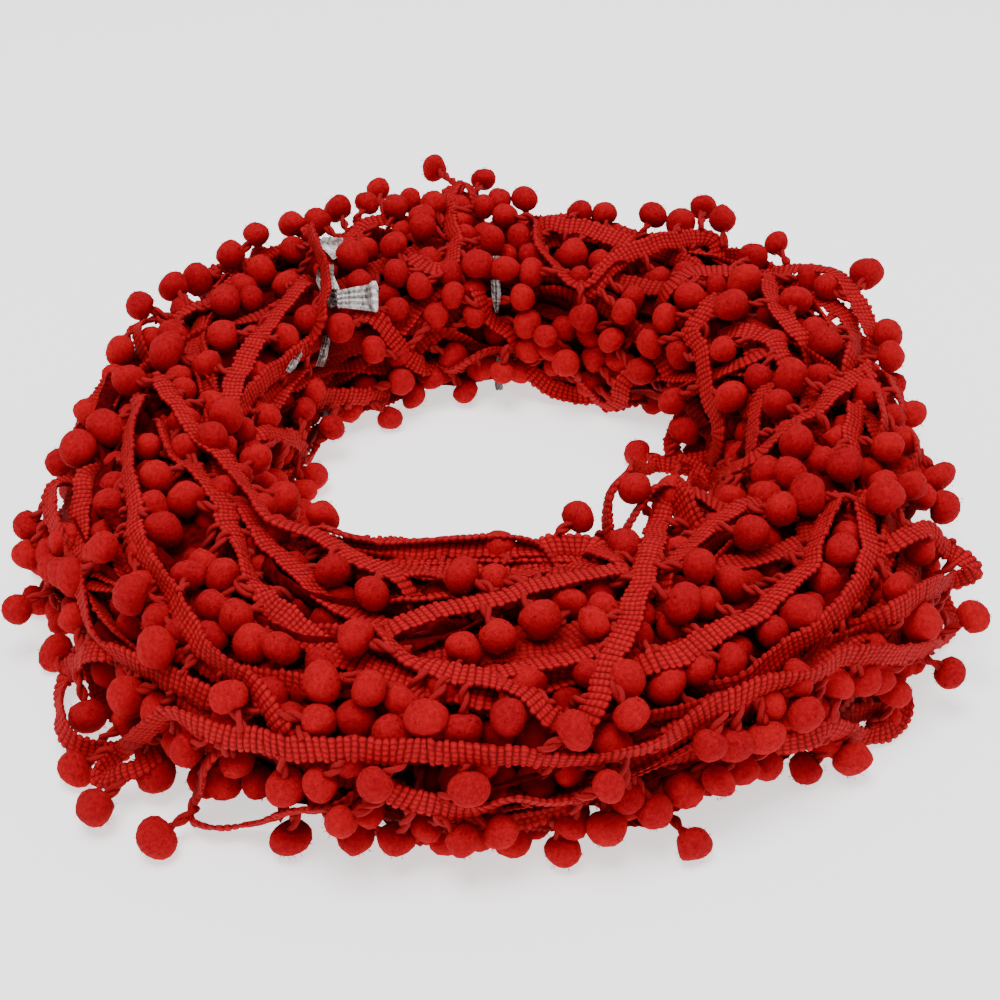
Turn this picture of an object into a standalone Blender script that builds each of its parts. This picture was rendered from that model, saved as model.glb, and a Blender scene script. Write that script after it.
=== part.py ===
# A hank of pompom trim: a long woven braid with pompoms along one edge, wound into a wreath
# with an open middle and held by two clear film ties. Sizes are in metres, +Z is up and the
# photographed front faces -Y. The wound body is a torus whose raised laps wind round it, the
# pompoms are small four-sided locks on stalks fused into the laps, and the ties are bands.
import math
import random

import bmesh
import bpy
from mathutils import Matrix, Vector
from mathutils.bvhtree import BVHTree
from mathutils.geometry import convex_hull_2d

# The wreath, with its centre moved so that the middle of the whole part's underside is the origin
WREATH_X = 0.0047
WREATH_Y = -0.0051
RING_RADIUS = 0.124
HALF_WIDTH = 0.0345
HALF_HEIGHT = 0.0265
CENTRE_HEIGHT = 0.0245
SQUARENESS = 2.35
STATIONS = 50

# The laps: raised bands as wide as the braid, each turning once round the section per circuit
LAPS = 8
POINTS_PER_LAP = 4
SECTION_POINTS = LAPS * POINTS_PER_LAP
LAP_RISE = 0.0029
LAP_UNEVEN = 0.0011
LAP_WANDER = 0.10

# The pompoms: a fuzzy ball on a two-ply stalk
BALL_RADIUS = 0.0060
STALK_RADIUS = 0.0013
ROOT_DEPTH = 0.0022
POMPOMS_PER_LAP = 34
BALL_GAP = 0.0012
SEED = 7

# The clear film ties
FILM = 0.0008
TIE_CLEARANCE = 0.0006
TIE_SIDES = 28
GROOVE_DEPTH = 0.0022
BAND_HALF = 0.0032

# Fullness of the pile at places round the wreath from +X: how far its middle lies from the
# wreath's centre, and its width and height, as multiples of the sizes above
FULLNESS_COLUMNS = ("degrees", "ring", "width", "height")
FULLNESS = (
    (0, 1.000, 1.00, 0.98),
    (30, 1.000, 1.00, 1.02),
    (60, 0.990, 0.98, 1.04),
    (90, 0.985, 0.97, 1.02),
    (120, 0.990, 1.00, 1.05),
    (150, 1.000, 1.04, 1.00),
    (180, 1.005, 1.06, 0.97),
    (210, 1.020, 1.05, 1.00),
    (240, 1.055, 1.14, 0.98),
    (270, 1.015, 1.08, 1.03),
    (300, 1.005, 1.06, 1.00),
    (330, 1.010, 1.05, 0.96),
)

# Pompoms that stand out of the pile on longer stalks, from the wreath's centre, in millimetres
STRAY_COLUMNS = ("x", "y", "z", "ball")
STRAYS = (
    (-30, 180, 58, 12.0),
    (-8, 172, 40, 12.0),
    (-55, 166, 50, 11.5),
    (12, 163, 50, 12.0),
    (116, 126, 50, 12.0),
    (149, 100, 50, 12.5),
    (-171, -54, 6, 11.5),
    (-176, -10, 6, 11.0),
    (-166, -28, 12, 12.0),
    (-152, -80, 6, 12.0),
    (-134, -134, 6, 12.0),
    (-122, -148, 6, 12.5),
    (-103, -161, 6, 12.5),
    (-63, -163, 6, 12.0),
    (-45, -160, 6, 12.0),
    (-29, -162, 6, 11.5),
    (-11, -163, 6, 11.0),
    (4, -160, 14, 11.5),
    (20, -169, 6, 11.5),
    (34, -157, 6, 12.5),
    (58, -165, 6, 12.0),
    (71, -143, 6, 11.5),
    (98, -134, 6, 12.0),
    (165, -60, 6, 11.5),
    (151, -88, 6, 11.5),
    (167, -12, 14, 12.5),
    (-45, 65, 6, 12.0),
    (-14, 87, 6, 12.0),
    (14, 84, 8, 11.5),
    (52, 14, 44, 12.0),
    (50, -12, 48, 12.5),
    (27, -72, 52, 12.5),
    (-72, 20, 8, 12.0),
    (-70, -36, 34, 12.5),
)

# The ties: where the band's upright plane crosses the tube, the way it runs in plan, and its width
TIE_COLUMNS = ("name", "x", "y", "run_degrees", "width")
TIES = (
    ("tie_left", -0.0680, 0.0980, 92.0, 0.0050),
    ("tie_back", -0.0015, 0.1240, 90.0, 0.0034),
)


def clear_scene():
    for old in list(bpy.data.objects):
        bpy.data.objects.remove(old, do_unlink=True)
    for old in list(bpy.data.collections):
        bpy.data.collections.remove(old)


def new_collection(name, hidden=False):
    made = bpy.data.collections.new(name)
    bpy.context.scene.collection.children.link(made)
    made.hide_render = hidden
    return made


def linear(hex_colour):
    parts = [int(hex_colour[i : i + 2], 16) / 255 for i in (0, 2, 4)]
    return [c / 12.92 if c <= 0.04045 else ((c + 0.055) / 1.055) ** 2.4 for c in parts] + [1.0]


def new_material(name, colour, roughness, alpha=1.0):
    made = bpy.data.materials.new(name)
    made.use_nodes = True
    shader = made.node_tree.nodes["Principled BSDF"]
    shader.inputs["Base Color"].default_value = linear(colour)
    shader.inputs["Roughness"].default_value = roughness
    shader.inputs["Metallic"].default_value = 0.0
    shader.inputs["Alpha"].default_value = alpha
    return made


def move_to(obj, collection):
    for old in list(obj.users_collection):
        old.objects.unlink(obj)
    collection.objects.link(obj)


def fullness(around):
    degrees = math.degrees(around) % 360
    step = 360 / len(FULLNESS)
    place = degrees / step
    first = FULLNESS[int(place) % len(FULLNESS)]
    second = FULLNESS[(int(place) + 1) % len(FULLNESS)]
    share = place - int(place)
    share = share * share * (3 - 2 * share)
    return [a + (b - a) * share for a, b in zip(first[1:], second[1:])]


def lap_turn(lap, around):
    """Where a lap lies round the section at one place round the wreath, in radians."""
    even = 2 * math.pi * lap / LAPS + around
    waves = 1 + lap % 3
    return even + LAP_WANDER * math.sin(waves * around + 2.4 * lap)


def lap_height(lap, around):
    return LAP_RISE + LAP_UNEVEN * math.sin((2 + lap % 2) * around + 1.7 * lap)


def section_point(around, turn, lift):
    """A point of the section in the wreath's radial plane, lift metres outside the plain section."""
    ring, width, height = fullness(around)
    c, s = math.cos(turn), math.sin(turn)
    reach = (abs(c) ** SQUARENESS + abs(s) ** SQUARENESS) ** (-1 / SQUARENESS)
    out = Vector((HALF_WIDTH * width * reach * c, HALF_HEIGHT * height * reach * s))
    slope = Vector((abs(c) ** 1.2 * math.copysign(1, c) / HALF_WIDTH,
                    abs(s) ** 1.2 * math.copysign(1, s) / HALF_HEIGHT)).normalized()
    out += slope * lift
    radius = RING_RADIUS * ring + out.x
    up = CENTRE_HEIGHT * height + out.y
    return Vector((radius * math.cos(around), radius * math.sin(around), up))


def lap_point(around, lap, across, lift=0.0):
    """A point of the lap's surface: across runs 0 to 1 over the raised band, 1 to 4 over the dip."""
    turn = lap_turn(lap, around)
    pitch = 2 * math.pi / SECTION_POINTS
    raised = lap_height(lap, around) if across <= 1 else -LAP_RISE
    return section_point(around, turn + pitch * across, raised + lift)


def make_body(material, collection):
    bpy.ops.mesh.primitive_torus_add(
        major_segments=STATIONS, minor_segments=SECTION_POINTS,
        major_radius=RING_RADIUS, minor_radius=HALF_HEIGHT)
    body = bpy.context.object
    body.name = body.data.name = "hank"
    for vertex in body.data.vertices:
        x, y, z = vertex.co
        around = math.atan2(y, x)
        turn = math.atan2(z, math.hypot(x, y) - RING_RADIUS)
        index = round(turn / (2 * math.pi / SECTION_POINTS)) % SECTION_POINTS
        lap, across = divmod(index, POINTS_PER_LAP)
        place = lap_point(around, lap, across)
        # The pile rests on a narrow flat ring
        place.z = max(place.z, 0.0)
        vertex.co = place
    body.data.materials.append(material)
    move_to(body, collection)
    return body


def pompom_mesh(root, centre, radius, level):
    """A four-sided lock: a UV sphere of four segments drawn out into a stalk and a ball."""
    reach = (centre - root).length
    # Height along the lock and radius of each ring, from the root to the top of the ball
    profile = (
        (STALK_RADIUS, 0.0),
        (STALK_RADIUS, reach - 0.86 * radius),
        (0.86 * radius, reach - 0.42 * radius),
        (0.92 * radius, reach + 0.40 * radius),
    )
    made = bmesh.new()
    bmesh.ops.create_uvsphere(made, u_segments=4, v_segments=5, radius=1.0)
    heights = sorted({round(v.co.z, 4) for v in made.verts})
    for vertex in made.verts:
        ring = min(range(len(heights)), key=lambda i: abs(heights[i] - vertex.co.z))
        if ring == 0:
            vertex.co = Vector((0, 0, -0.0006))
        elif ring == len(heights) - 1:
            vertex.co = Vector((0, 0, reach + 1.04 * radius))
        else:
            wide, high = profile[ring - 1]
            angle = math.atan2(vertex.co.y, vertex.co.x) + (math.pi / 4 if ring == 4 else 0)
            vertex.co = Vector((wide * math.cos(angle), wide * math.sin(angle), high))
    bmesh.ops.triangulate(made, faces=made.faces[:], quad_method="SHORT_EDGE")
    turn = (centre - root).normalized().to_track_quat("Z", "Y").to_matrix().to_4x4()
    bmesh.ops.transform(made, matrix=Matrix.Translation(root) @ turn, verts=made.verts[:])
    ball = [v for v in made.verts if (v.co - root).length > 0.6 * reach]
    low = min(v.co.z for v in ball)
    if level or low < 0:
        # A ball on the floor rests level on it
        for vertex in ball:
            vertex.co.z -= low
    bmesh.ops.recalc_face_normals(made, faces=made.faces[:])
    mesh = bpy.data.meshes.new("pompom")
    made.to_mesh(mesh)
    made.free()
    return mesh


class Pompoms:
    """The pompoms placed so far, which stand clear of the body, of each other and of the ties."""

    def __init__(self, tree, planes):
        self.tree = tree
        self.planes = planes
        self.placed = []
        self.meshes = []

    def clear_of_ties(self, root, centre, radius):
        for name, point, along, across in self.planes:
            for place, reach in ((centre, radius), ((root + centre) / 2, 0.0025), (root, 0.0022)):
                offset = place - point
                if abs(offset.dot(across)) < BAND_HALF + reach and abs(offset.dot(along)) < 0.075:
                    return False
            if name == "tie_left" and (centre - KNOT_AREA[0]).length < KNOT_AREA[1]:
                return False
        return True

    def try_to_place(self, root, centre, radius):
        root = Vector((root.x, root.y, max(root.z, 0.0025)))
        level = centre.z - radius < 0.0012
        if level:
            centre = Vector((centre.x, centre.y, radius))
        near, _, _, distance = self.tree.find_nearest(centre)
        if near is None or distance < 1.05 * radius + BALL_GAP:
            return False
        if not self.clear_of_ties(root, centre, radius):
            return False
        for other, other_radius in self.placed:
            if (other - centre).length < 1.04 * (radius + other_radius) + BALL_GAP:
                return False
        self.placed.append((centre, radius))
        self.meshes.append(pompom_mesh(root, centre, radius, level))
        return True


# The knot of the left tie and its free ends keep this ball of space, centre and radius
KNOT_AREA = (Vector((-0.0640, 0.0900, 0.0600)), 0.0170)


def place_strays(pompoms):
    for row in STRAYS:
        x, y, z, ball = (v / 1000 for v in row)
        centre, radius = Vector((x, y, z)), ball / 2
        near, normal, _, distance = pompoms.tree.find_nearest(centre)
        if distance < 1.05 * radius + 2 * BALL_GAP:
            centre += (centre - near).normalized() * (1.05 * radius + 2 * BALL_GAP - distance)
            centre.z = max(centre.z, radius)
        near, normal, _, distance = pompoms.tree.find_nearest(centre)
        into = (near - centre).normalized()
        if not pompoms.try_to_place(near + into * ROOT_DEPTH, centre, radius):
            print("stray left out", row)


def place_rows(pompoms):
    """A row of pompoms hangs from the edge of each lap."""
    chance = random.Random(SEED)
    for lap in range(LAPS):
        for number in range(POMPOMS_PER_LAP):
            around = 2 * math.pi * (number + 0.5 * (lap % 2) + chance.uniform(-0.18, 0.18)) / POMPOMS_PER_LAP
            edge = lap_point(around, lap, 1.0)
            beside = lap_point(around, lap, 2.2)
            outside = lap_point(around, lap, 1.0, 0.010)
            across = (beside - edge).normalized()
            out = (outside - edge).normalized()
            across = (across - out * across.dot(out)).normalized()
            radius = BALL_RADIUS * chance.uniform(0.92, 1.06)
            for rise in (chance.uniform(0.0026, 0.0058), 0.0065, 0.0085, 0.0105):
                centre = edge + across * chance.uniform(0.0066, 0.0090) + out * rise
                root = edge - out * ROOT_DEPTH - across * 0.0010
                if pompoms.try_to_place(root, centre, radius):
                    break


def join_meshes(meshes, name, collection):
    together = bmesh.new()
    for mesh in meshes:
        together.from_mesh(mesh)
    joined = bpy.data.meshes.new(name)
    together.to_mesh(joined)
    together.free()
    obj = bpy.data.objects.new(name, joined)
    collection.objects.link(obj)
    obj.display_type = "WIRE"
    obj.hide_render = True
    return obj


def boolean(obj, other, operation):
    modifier = obj.modifiers.new(operation.lower() + "_" + other.name, "BOOLEAN")
    modifier.operation = operation
    modifier.solver = "EXACT"
    modifier.object = other


def apply_modifiers(obj):
    bpy.context.view_layer.update()
    graph = bpy.context.evaluated_depsgraph_get()
    mesh = bpy.data.meshes.new_from_object(obj.evaluated_get(graph))
    obj.modifiers.clear()
    obj.data = mesh


def tie_planes():
    planes = []
    for name, x, y, run, width in TIES:
        run = math.radians(run)
        along = Vector((math.cos(run), math.sin(run), 0))
        across = Vector((-math.sin(run), math.cos(run), 0))
        planes.append((name, Vector((x, y, CENTRE_HEIGHT)), along, across))
    return planes


def cut_grooves(body, planes, helpers):
    """A shallow groove under the pile lets each tie pass above the surface that it rests on."""
    for name, point, along, across in planes:
        bpy.ops.mesh.primitive_cube_add(size=1)
        groove = bpy.context.object
        groove.name = name + "_groove"
        groove.scale = (0.150, 0.0095, 2 * GROOVE_DEPTH)
        groove.rotation_euler = (0, 0, math.atan2(along.y, along.x))
        groove.location = (point.x, point.y, 0)
        groove.hide_render = True
        groove.display_type = "WIRE"
        move_to(groove, helpers)
        boolean(body, groove, "DIFFERENCE")


def section_hull(tree, point, along, across, half_width):
    """The hull of the body's outline in the tie's plane, as pairs along and above the tube's centre."""
    found = []
    for shift in range(-3, 4):
        start = point + across * (half_width + 0.0008) * shift / 3
        for step in range(96):
            turn = 2 * math.pi * step / 96
            way = along * math.cos(turn) + Vector((0, 0, 1)) * math.sin(turn)
            hit = tree.ray_cast(start + way * 0.072, -way, 0.072)[0]
            if hit is not None:
                found.append(((hit - point).dot(along), hit.z - point.z))
    return [found[i] for i in convex_hull_2d(found)]


def tie_outline(hull, extra):
    """A polygon round the hull, each side touching it at one of the evenly spread directions."""
    sides = []
    for step in range(TIE_SIDES):
        turn = 2 * math.pi * step / TIE_SIDES
        reach = max(x * math.cos(turn) + z * math.sin(turn) for x, z in hull) + extra
        sides.append((math.cos(turn), math.sin(turn), reach))
    corners = []
    for (c1, s1, r1), (c2, s2, r2) in zip(sides, sides[1:] + sides[:1]):
        det = c1 * s2 - c2 * s1
        corners.append(((r1 * s2 - r2 * s1) / det, (c1 * r2 - c2 * r1) / det))
    return corners


def make_band(name, tree, point, along, across, width, material, collection):
    corners = tie_outline(section_hull(tree, point, along, across, width / 2), TIE_CLEARANCE)
    bpy.ops.mesh.primitive_cylinder_add(vertices=TIE_SIDES, radius=1, depth=1, end_fill_type="NOTHING")
    band = bpy.context.object
    band.name = band.data.name = name
    for vertex in band.data.vertices:
        step = round(math.atan2(vertex.co.y, vertex.co.x) / (2 * math.pi / TIE_SIDES)) % TIE_SIDES
        x, z = corners[step]
        side = -math.copysign(width / 2, vertex.co.z)
        vertex.co = point + along * x + Vector((0, 0, z)) + across * side
    band.data.materials.append(material)
    move_to(band, collection)
    solidify = band.modifiers.new("film", "SOLIDIFY")
    solidify.thickness = FILM
    solidify.offset = 1
    solidify.use_even_offset = True
    apply_modifiers(band)
    tidy = bmesh.new()
    tidy.from_mesh(band.data)
    bmesh.ops.recalc_face_normals(tidy, faces=tidy.faces[:])
    if tidy.calc_volume(signed=True) < 0:
        bmesh.ops.reverse_faces(tidy, faces=tidy.faces[:])
    tidy.to_mesh(band.data)
    tidy.free()
    return band


def film_end(name, start, length, width, heading, lift, curl, helpers):
    """A free end of film: a grid bent upwards along its length, with a crease down the middle."""
    bpy.ops.mesh.primitive_grid_add(x_subdivisions=6, y_subdivisions=2, size=1)
    end = bpy.context.object
    end.name = name
    heading = math.radians(heading)
    along = Vector((math.cos(heading), math.sin(heading), 0))
    side = Vector((-math.sin(heading), math.cos(heading), 0))
    for vertex in end.data.vertices:
        share, across = vertex.co.x + 0.5, vertex.co.y * 2
        spread = width * (0.45 + 0.55 * min(1.0, 1.6 * share)) / 2
        rise = lift * share + curl * math.sin(math.pi * share) + 0.0016 * abs(across) * share
        vertex.co = start + along * length * share + side * spread * across + Vector((0, 0, rise))
    solidify = end.modifiers.new("film", "SOLIDIFY")
    solidify.thickness = FILM
    solidify.offset = 0
    apply_modifiers(end)
    end.hide_render = True
    end.display_type = "WIRE"
    move_to(end, helpers)
    return end


def add_knot(band, tree, point, along, helpers):
    """The left tie's knot sits on top of the band, and two free ends leave it."""
    around = bmesh.new()
    around.from_mesh(band.data)
    over = Vector((point.x, point.y, 0.2)) + along * KNOT_ALONG
    centre = BVHTree.FromBMesh(around).ray_cast(over, Vector((0, 0, -1)))[0]
    around.free()
    centre.z += 0.0016
    bpy.ops.mesh.primitive_ico_sphere_add(subdivisions=2, radius=1)
    knot = bpy.context.object
    knot.name = "tie_left_knot"
    for vertex in knot.data.vertices:
        vertex.co = centre + Vector((vertex.co.x * 0.0042, vertex.co.y * 0.0050, vertex.co.z * 0.0030))
    knot.hide_render = True
    knot.display_type = "WIRE"
    move_to(knot, helpers)
    boolean(band, knot, "UNION")
    for name, length, width, heading, lift, curl in FREE_ENDS:
        end = film_end(name, centre + Vector((0, 0, 0.0008)), length, width, heading, lift, curl, helpers)
        boolean(band, end, "UNION")
    apply_modifiers(band)


KNOT_ALONG = -0.016
FREE_END_COLUMNS = ("name", "length", "width", "heading", "lift", "curl")
FREE_ENDS = (
    ("tie_left_long_end", 0.0190, 0.0090, 12.0, 0.0030, 0.0040),
    ("tie_left_short_end", 0.0150, 0.0080, 100.0, 0.0060, 0.0030),
)


def finish(obj, angle):
    obj.data.transform(Matrix.Translation((WREATH_X, WREATH_Y, 0)))
    bpy.ops.object.select_all(action="DESELECT")
    bpy.context.view_layer.objects.active = obj
    obj.select_set(True)
    bpy.ops.object.shade_smooth()
    obj.data.set_sharp_from_angle(angle=math.radians(angle))
    obj.select_set(False)


def main():
    clear_scene()
    parts = new_collection("pompom_trim_hank")
    helpers = new_collection("pompom_trim_helpers", hidden=True)
    trim = new_material("red_trim", "B92019", 0.95)
    film = new_material("clear_film", "D9DCDE", 0.12, 0.35)
    planes = tie_planes()

    body = make_body(trim, parts)
    cut_grooves(body, planes, helpers)
    apply_modifiers(body)
    plain = bmesh.new()
    plain.from_mesh(body.data)
    tree = BVHTree.FromBMesh(plain)
    plain.free()

    for (name, point, along, across), (_, _, _, _, width) in zip(planes, TIES):
        band = make_band(name, tree, point, along, across, width, film, parts)
        if name == "tie_left":
            add_knot(band, tree, point, along, helpers)
        finish(band, 40)

    pompoms = Pompoms(tree, planes)
    place_strays(pompoms)
    place_rows(pompoms)
    print(len(pompoms.placed), "pompoms")
    locks = join_meshes(pompoms.meshes, "pompom_locks", helpers)
    boolean(body, locks, "UNION")
    apply_modifiers(body)
    finish(body, 50)


main()
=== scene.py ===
import bpy
import math
import numpy as np
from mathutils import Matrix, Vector
from mathutils.geometry import convex_hull_2d


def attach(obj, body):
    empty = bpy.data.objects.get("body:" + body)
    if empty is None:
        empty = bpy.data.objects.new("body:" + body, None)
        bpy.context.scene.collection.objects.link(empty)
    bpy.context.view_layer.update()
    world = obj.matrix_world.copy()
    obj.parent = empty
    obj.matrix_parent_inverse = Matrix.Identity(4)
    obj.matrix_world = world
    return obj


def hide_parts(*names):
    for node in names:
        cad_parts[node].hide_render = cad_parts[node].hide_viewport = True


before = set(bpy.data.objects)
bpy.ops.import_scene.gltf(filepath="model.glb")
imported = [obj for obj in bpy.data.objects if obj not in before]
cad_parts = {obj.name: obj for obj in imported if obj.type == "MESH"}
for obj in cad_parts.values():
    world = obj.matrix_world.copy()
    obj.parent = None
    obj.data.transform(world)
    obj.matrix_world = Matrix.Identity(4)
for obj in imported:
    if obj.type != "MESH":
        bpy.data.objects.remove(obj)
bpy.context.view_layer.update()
chance = np.random.default_rng(11)

# camera, as worked out from the photograph: the eye stands in front of the hank and looks down on it
view = {"place": (0.0038, -0.5146, 0.3947), "pitchDown": 36.9, "lens": 61.2, "sensorWidth": 36.0}
picture = {"focal": 1700.0, "middle": 500.0}

bpy.ops.object.select_all(action="DESELECT")
bpy.ops.object.camera_add(location=view["place"], rotation=(math.radians(90 - view["pitchDown"]), 0, 0))
camera = bpy.context.object
camera.name = "photoCamera"
camera.data.lens = view["lens"]
camera.data.sensor_width = view["sensorWidth"]
camera.data.clip_start = 0.01
camera.data.clip_end = 20
bpy.context.scene.camera = camera

eye = np.array(view["place"])
pitch = math.radians(view["pitchDown"])


def rayThrough(px, py):
    across = (np.asarray(px, float) - picture["middle"]) / picture["focal"]
    down = (np.asarray(py, float) - picture["middle"]) / picture["focal"]
    forward = math.cos(pitch) - down * math.sin(pitch)
    upward = -math.sin(pitch) - down * math.cos(pitch)
    return np.stack([across, forward, upward], -1)


# the hank's form, the same numbers as its solid: a ring with a rounded section, fuller at the front left
hank = {"centreX": 0.0047, "centreY": -0.0051, "ringRadius": 0.124, "halfWidth": 0.0345, "halfHeight": 0.0265,
        "centreHeight": 0.0245, "squareness": 2.35, "pile": 0.012}
# degrees round the ring, then the shares of its radius, width and height there
fullness = np.array((
    (0, 1.000, 1.00, 0.98), (30, 1.000, 1.00, 1.02), (60, 0.990, 0.98, 1.04), (90, 0.985, 0.97, 1.02),
    (120, 0.990, 1.00, 1.05), (150, 1.000, 1.04, 1.00), (180, 1.005, 1.06, 0.97), (210, 1.020, 1.05, 1.00),
    (240, 1.055, 1.14, 0.98), (270, 1.015, 1.08, 1.03), (300, 1.005, 1.06, 1.00), (330, 1.010, 1.05, 0.96),
    (360, 1.000, 1.00, 0.98)))

# loose laps lean further into the middle at the front, and the sides are drawn in: degrees, and how far in metres
innerLean = np.array(((0, 0), (200, 0), (235, 0.012), (300, 0.012), (330, 0.002), (360, 0)))
outerLean = np.array((
    (0, -0.0115), (22, -0.0105), (40, -0.002), (55, 0), (138, 0), (156, -0.009), (176, -0.0085), (196, 0),
    (325, 0), (342, -0.008), (360, -0.0115)))


def ringShape(degrees):
    degrees = degrees % 360
    return [np.interp(degrees, fullness[:, 0], fullness[:, column]) for column in (1, 2, 3)]


def leanAt(around, out):
    degrees = np.degrees(around) % 360
    inner, outer = (np.interp(degrees, lean[:, 0], lean[:, 1]) for lean in (innerLean, outerLean))
    return np.where(out < 0, inner, outer)


def inSection(points):
    # a point's angle round the ring, and its place out and up in the section there
    x, y = points[..., 0] - hank["centreX"], points[..., 1] - hank["centreY"]
    around = np.arctan2(y, x)
    ring, width, height = ringShape(np.degrees(around))
    out = np.hypot(x, y) - hank["ringRadius"] * ring
    up = points[..., 2] - hank["centreHeight"]
    wide = hank["halfWidth"] * width + hank["pile"] + leanAt(around, out)
    return around, out, up, wide, hank["halfHeight"] * height + hank["pile"]


def depthIn(points):
    # how deep a point is below the outside of the pile; below zero outside it
    _, out, up, wide, high = inSection(points)
    power = hank["squareness"]
    share = ((np.abs(out) / wide) ** power + (np.abs(up) / high) ** power) ** (1 / power)
    reach = np.hypot(out, up)
    return reach / np.maximum(share, 1e-4) - reach


def sectionPoint(around, turn, share):
    # the point at this turn round the section, at a share of the way from its centre to the outside
    ring, width, height = ringShape(np.degrees(around))
    wide, high = hank["halfWidth"] * width + hank["pile"], hank["halfHeight"] * height + hank["pile"]
    wide = wide + leanAt(around, np.cos(turn))
    power = 2 / hank["squareness"]
    out = np.sign(np.cos(turn)) * np.abs(np.cos(turn)) ** power * wide * share
    up = np.sign(np.sin(turn)) * np.abs(np.sin(turn)) ** power * high * share
    radius = hank["ringRadius"] * ring + out
    return np.stack([hank["centreX"] + radius * np.cos(around), hank["centreY"] + radius * np.sin(around),
                     hank["centreHeight"] + up], -1)


def outwardAt(points):
    # the way out of the pile, square to its outside
    _, out, up, wide, high = inSection(points)
    x, y = points[..., 0] - hank["centreX"], points[..., 1] - hank["centreY"]
    away = np.stack([x, y, np.zeros_like(x)], -1) / np.maximum(np.hypot(x, y), 1e-6)[..., None]
    power = hank["squareness"] - 1
    side = np.sign(out) * (np.abs(out) / wide) ** power / wide
    lift = np.sign(up) * (np.abs(up) / high) ** power / high
    normal = away * side[..., None]
    normal[..., 2] += lift
    return normal / np.maximum(np.linalg.norm(normal, axis=-1), 1e-9)[..., None]


def unit(vectors):
    return vectors / np.maximum(np.linalg.norm(vectors, axis=-1), 1e-9)[..., None]


# distances from the eye at which a sight line is tried, and when a line that passes the pile by ends on the floor
sightSteps = np.arange(0.36, 0.92, 0.0007)
passing = {"highest": 0.060, "highCost": 1.5, "floorReach": 0.006}


def ontoPile(px, py, depth, floorGap):
    # how far along its sight line this place of the picture is this deep in the pile, or meets the floor
    line = eye + sightSteps[:, None] * rayThrough(px, py)
    deep = depthIn(line)
    above = line[:, 2] >= floorGap
    last = np.count_nonzero(above) - 1
    inside = np.nonzero((deep >= depth) & above)[0]
    if len(inside):
        return sightSteps[inside[0]]
    cost = passing["highCost"] * np.clip(line[:, 2] - passing["highest"], 0, None)
    nearest = int(np.argmax(np.where(above, deep - cost, -1)))
    if nearest >= last - 2 or deep[last] > -passing["floorReach"]:
        return sightSteps[last]
    return sightSteps[nearest]


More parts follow.
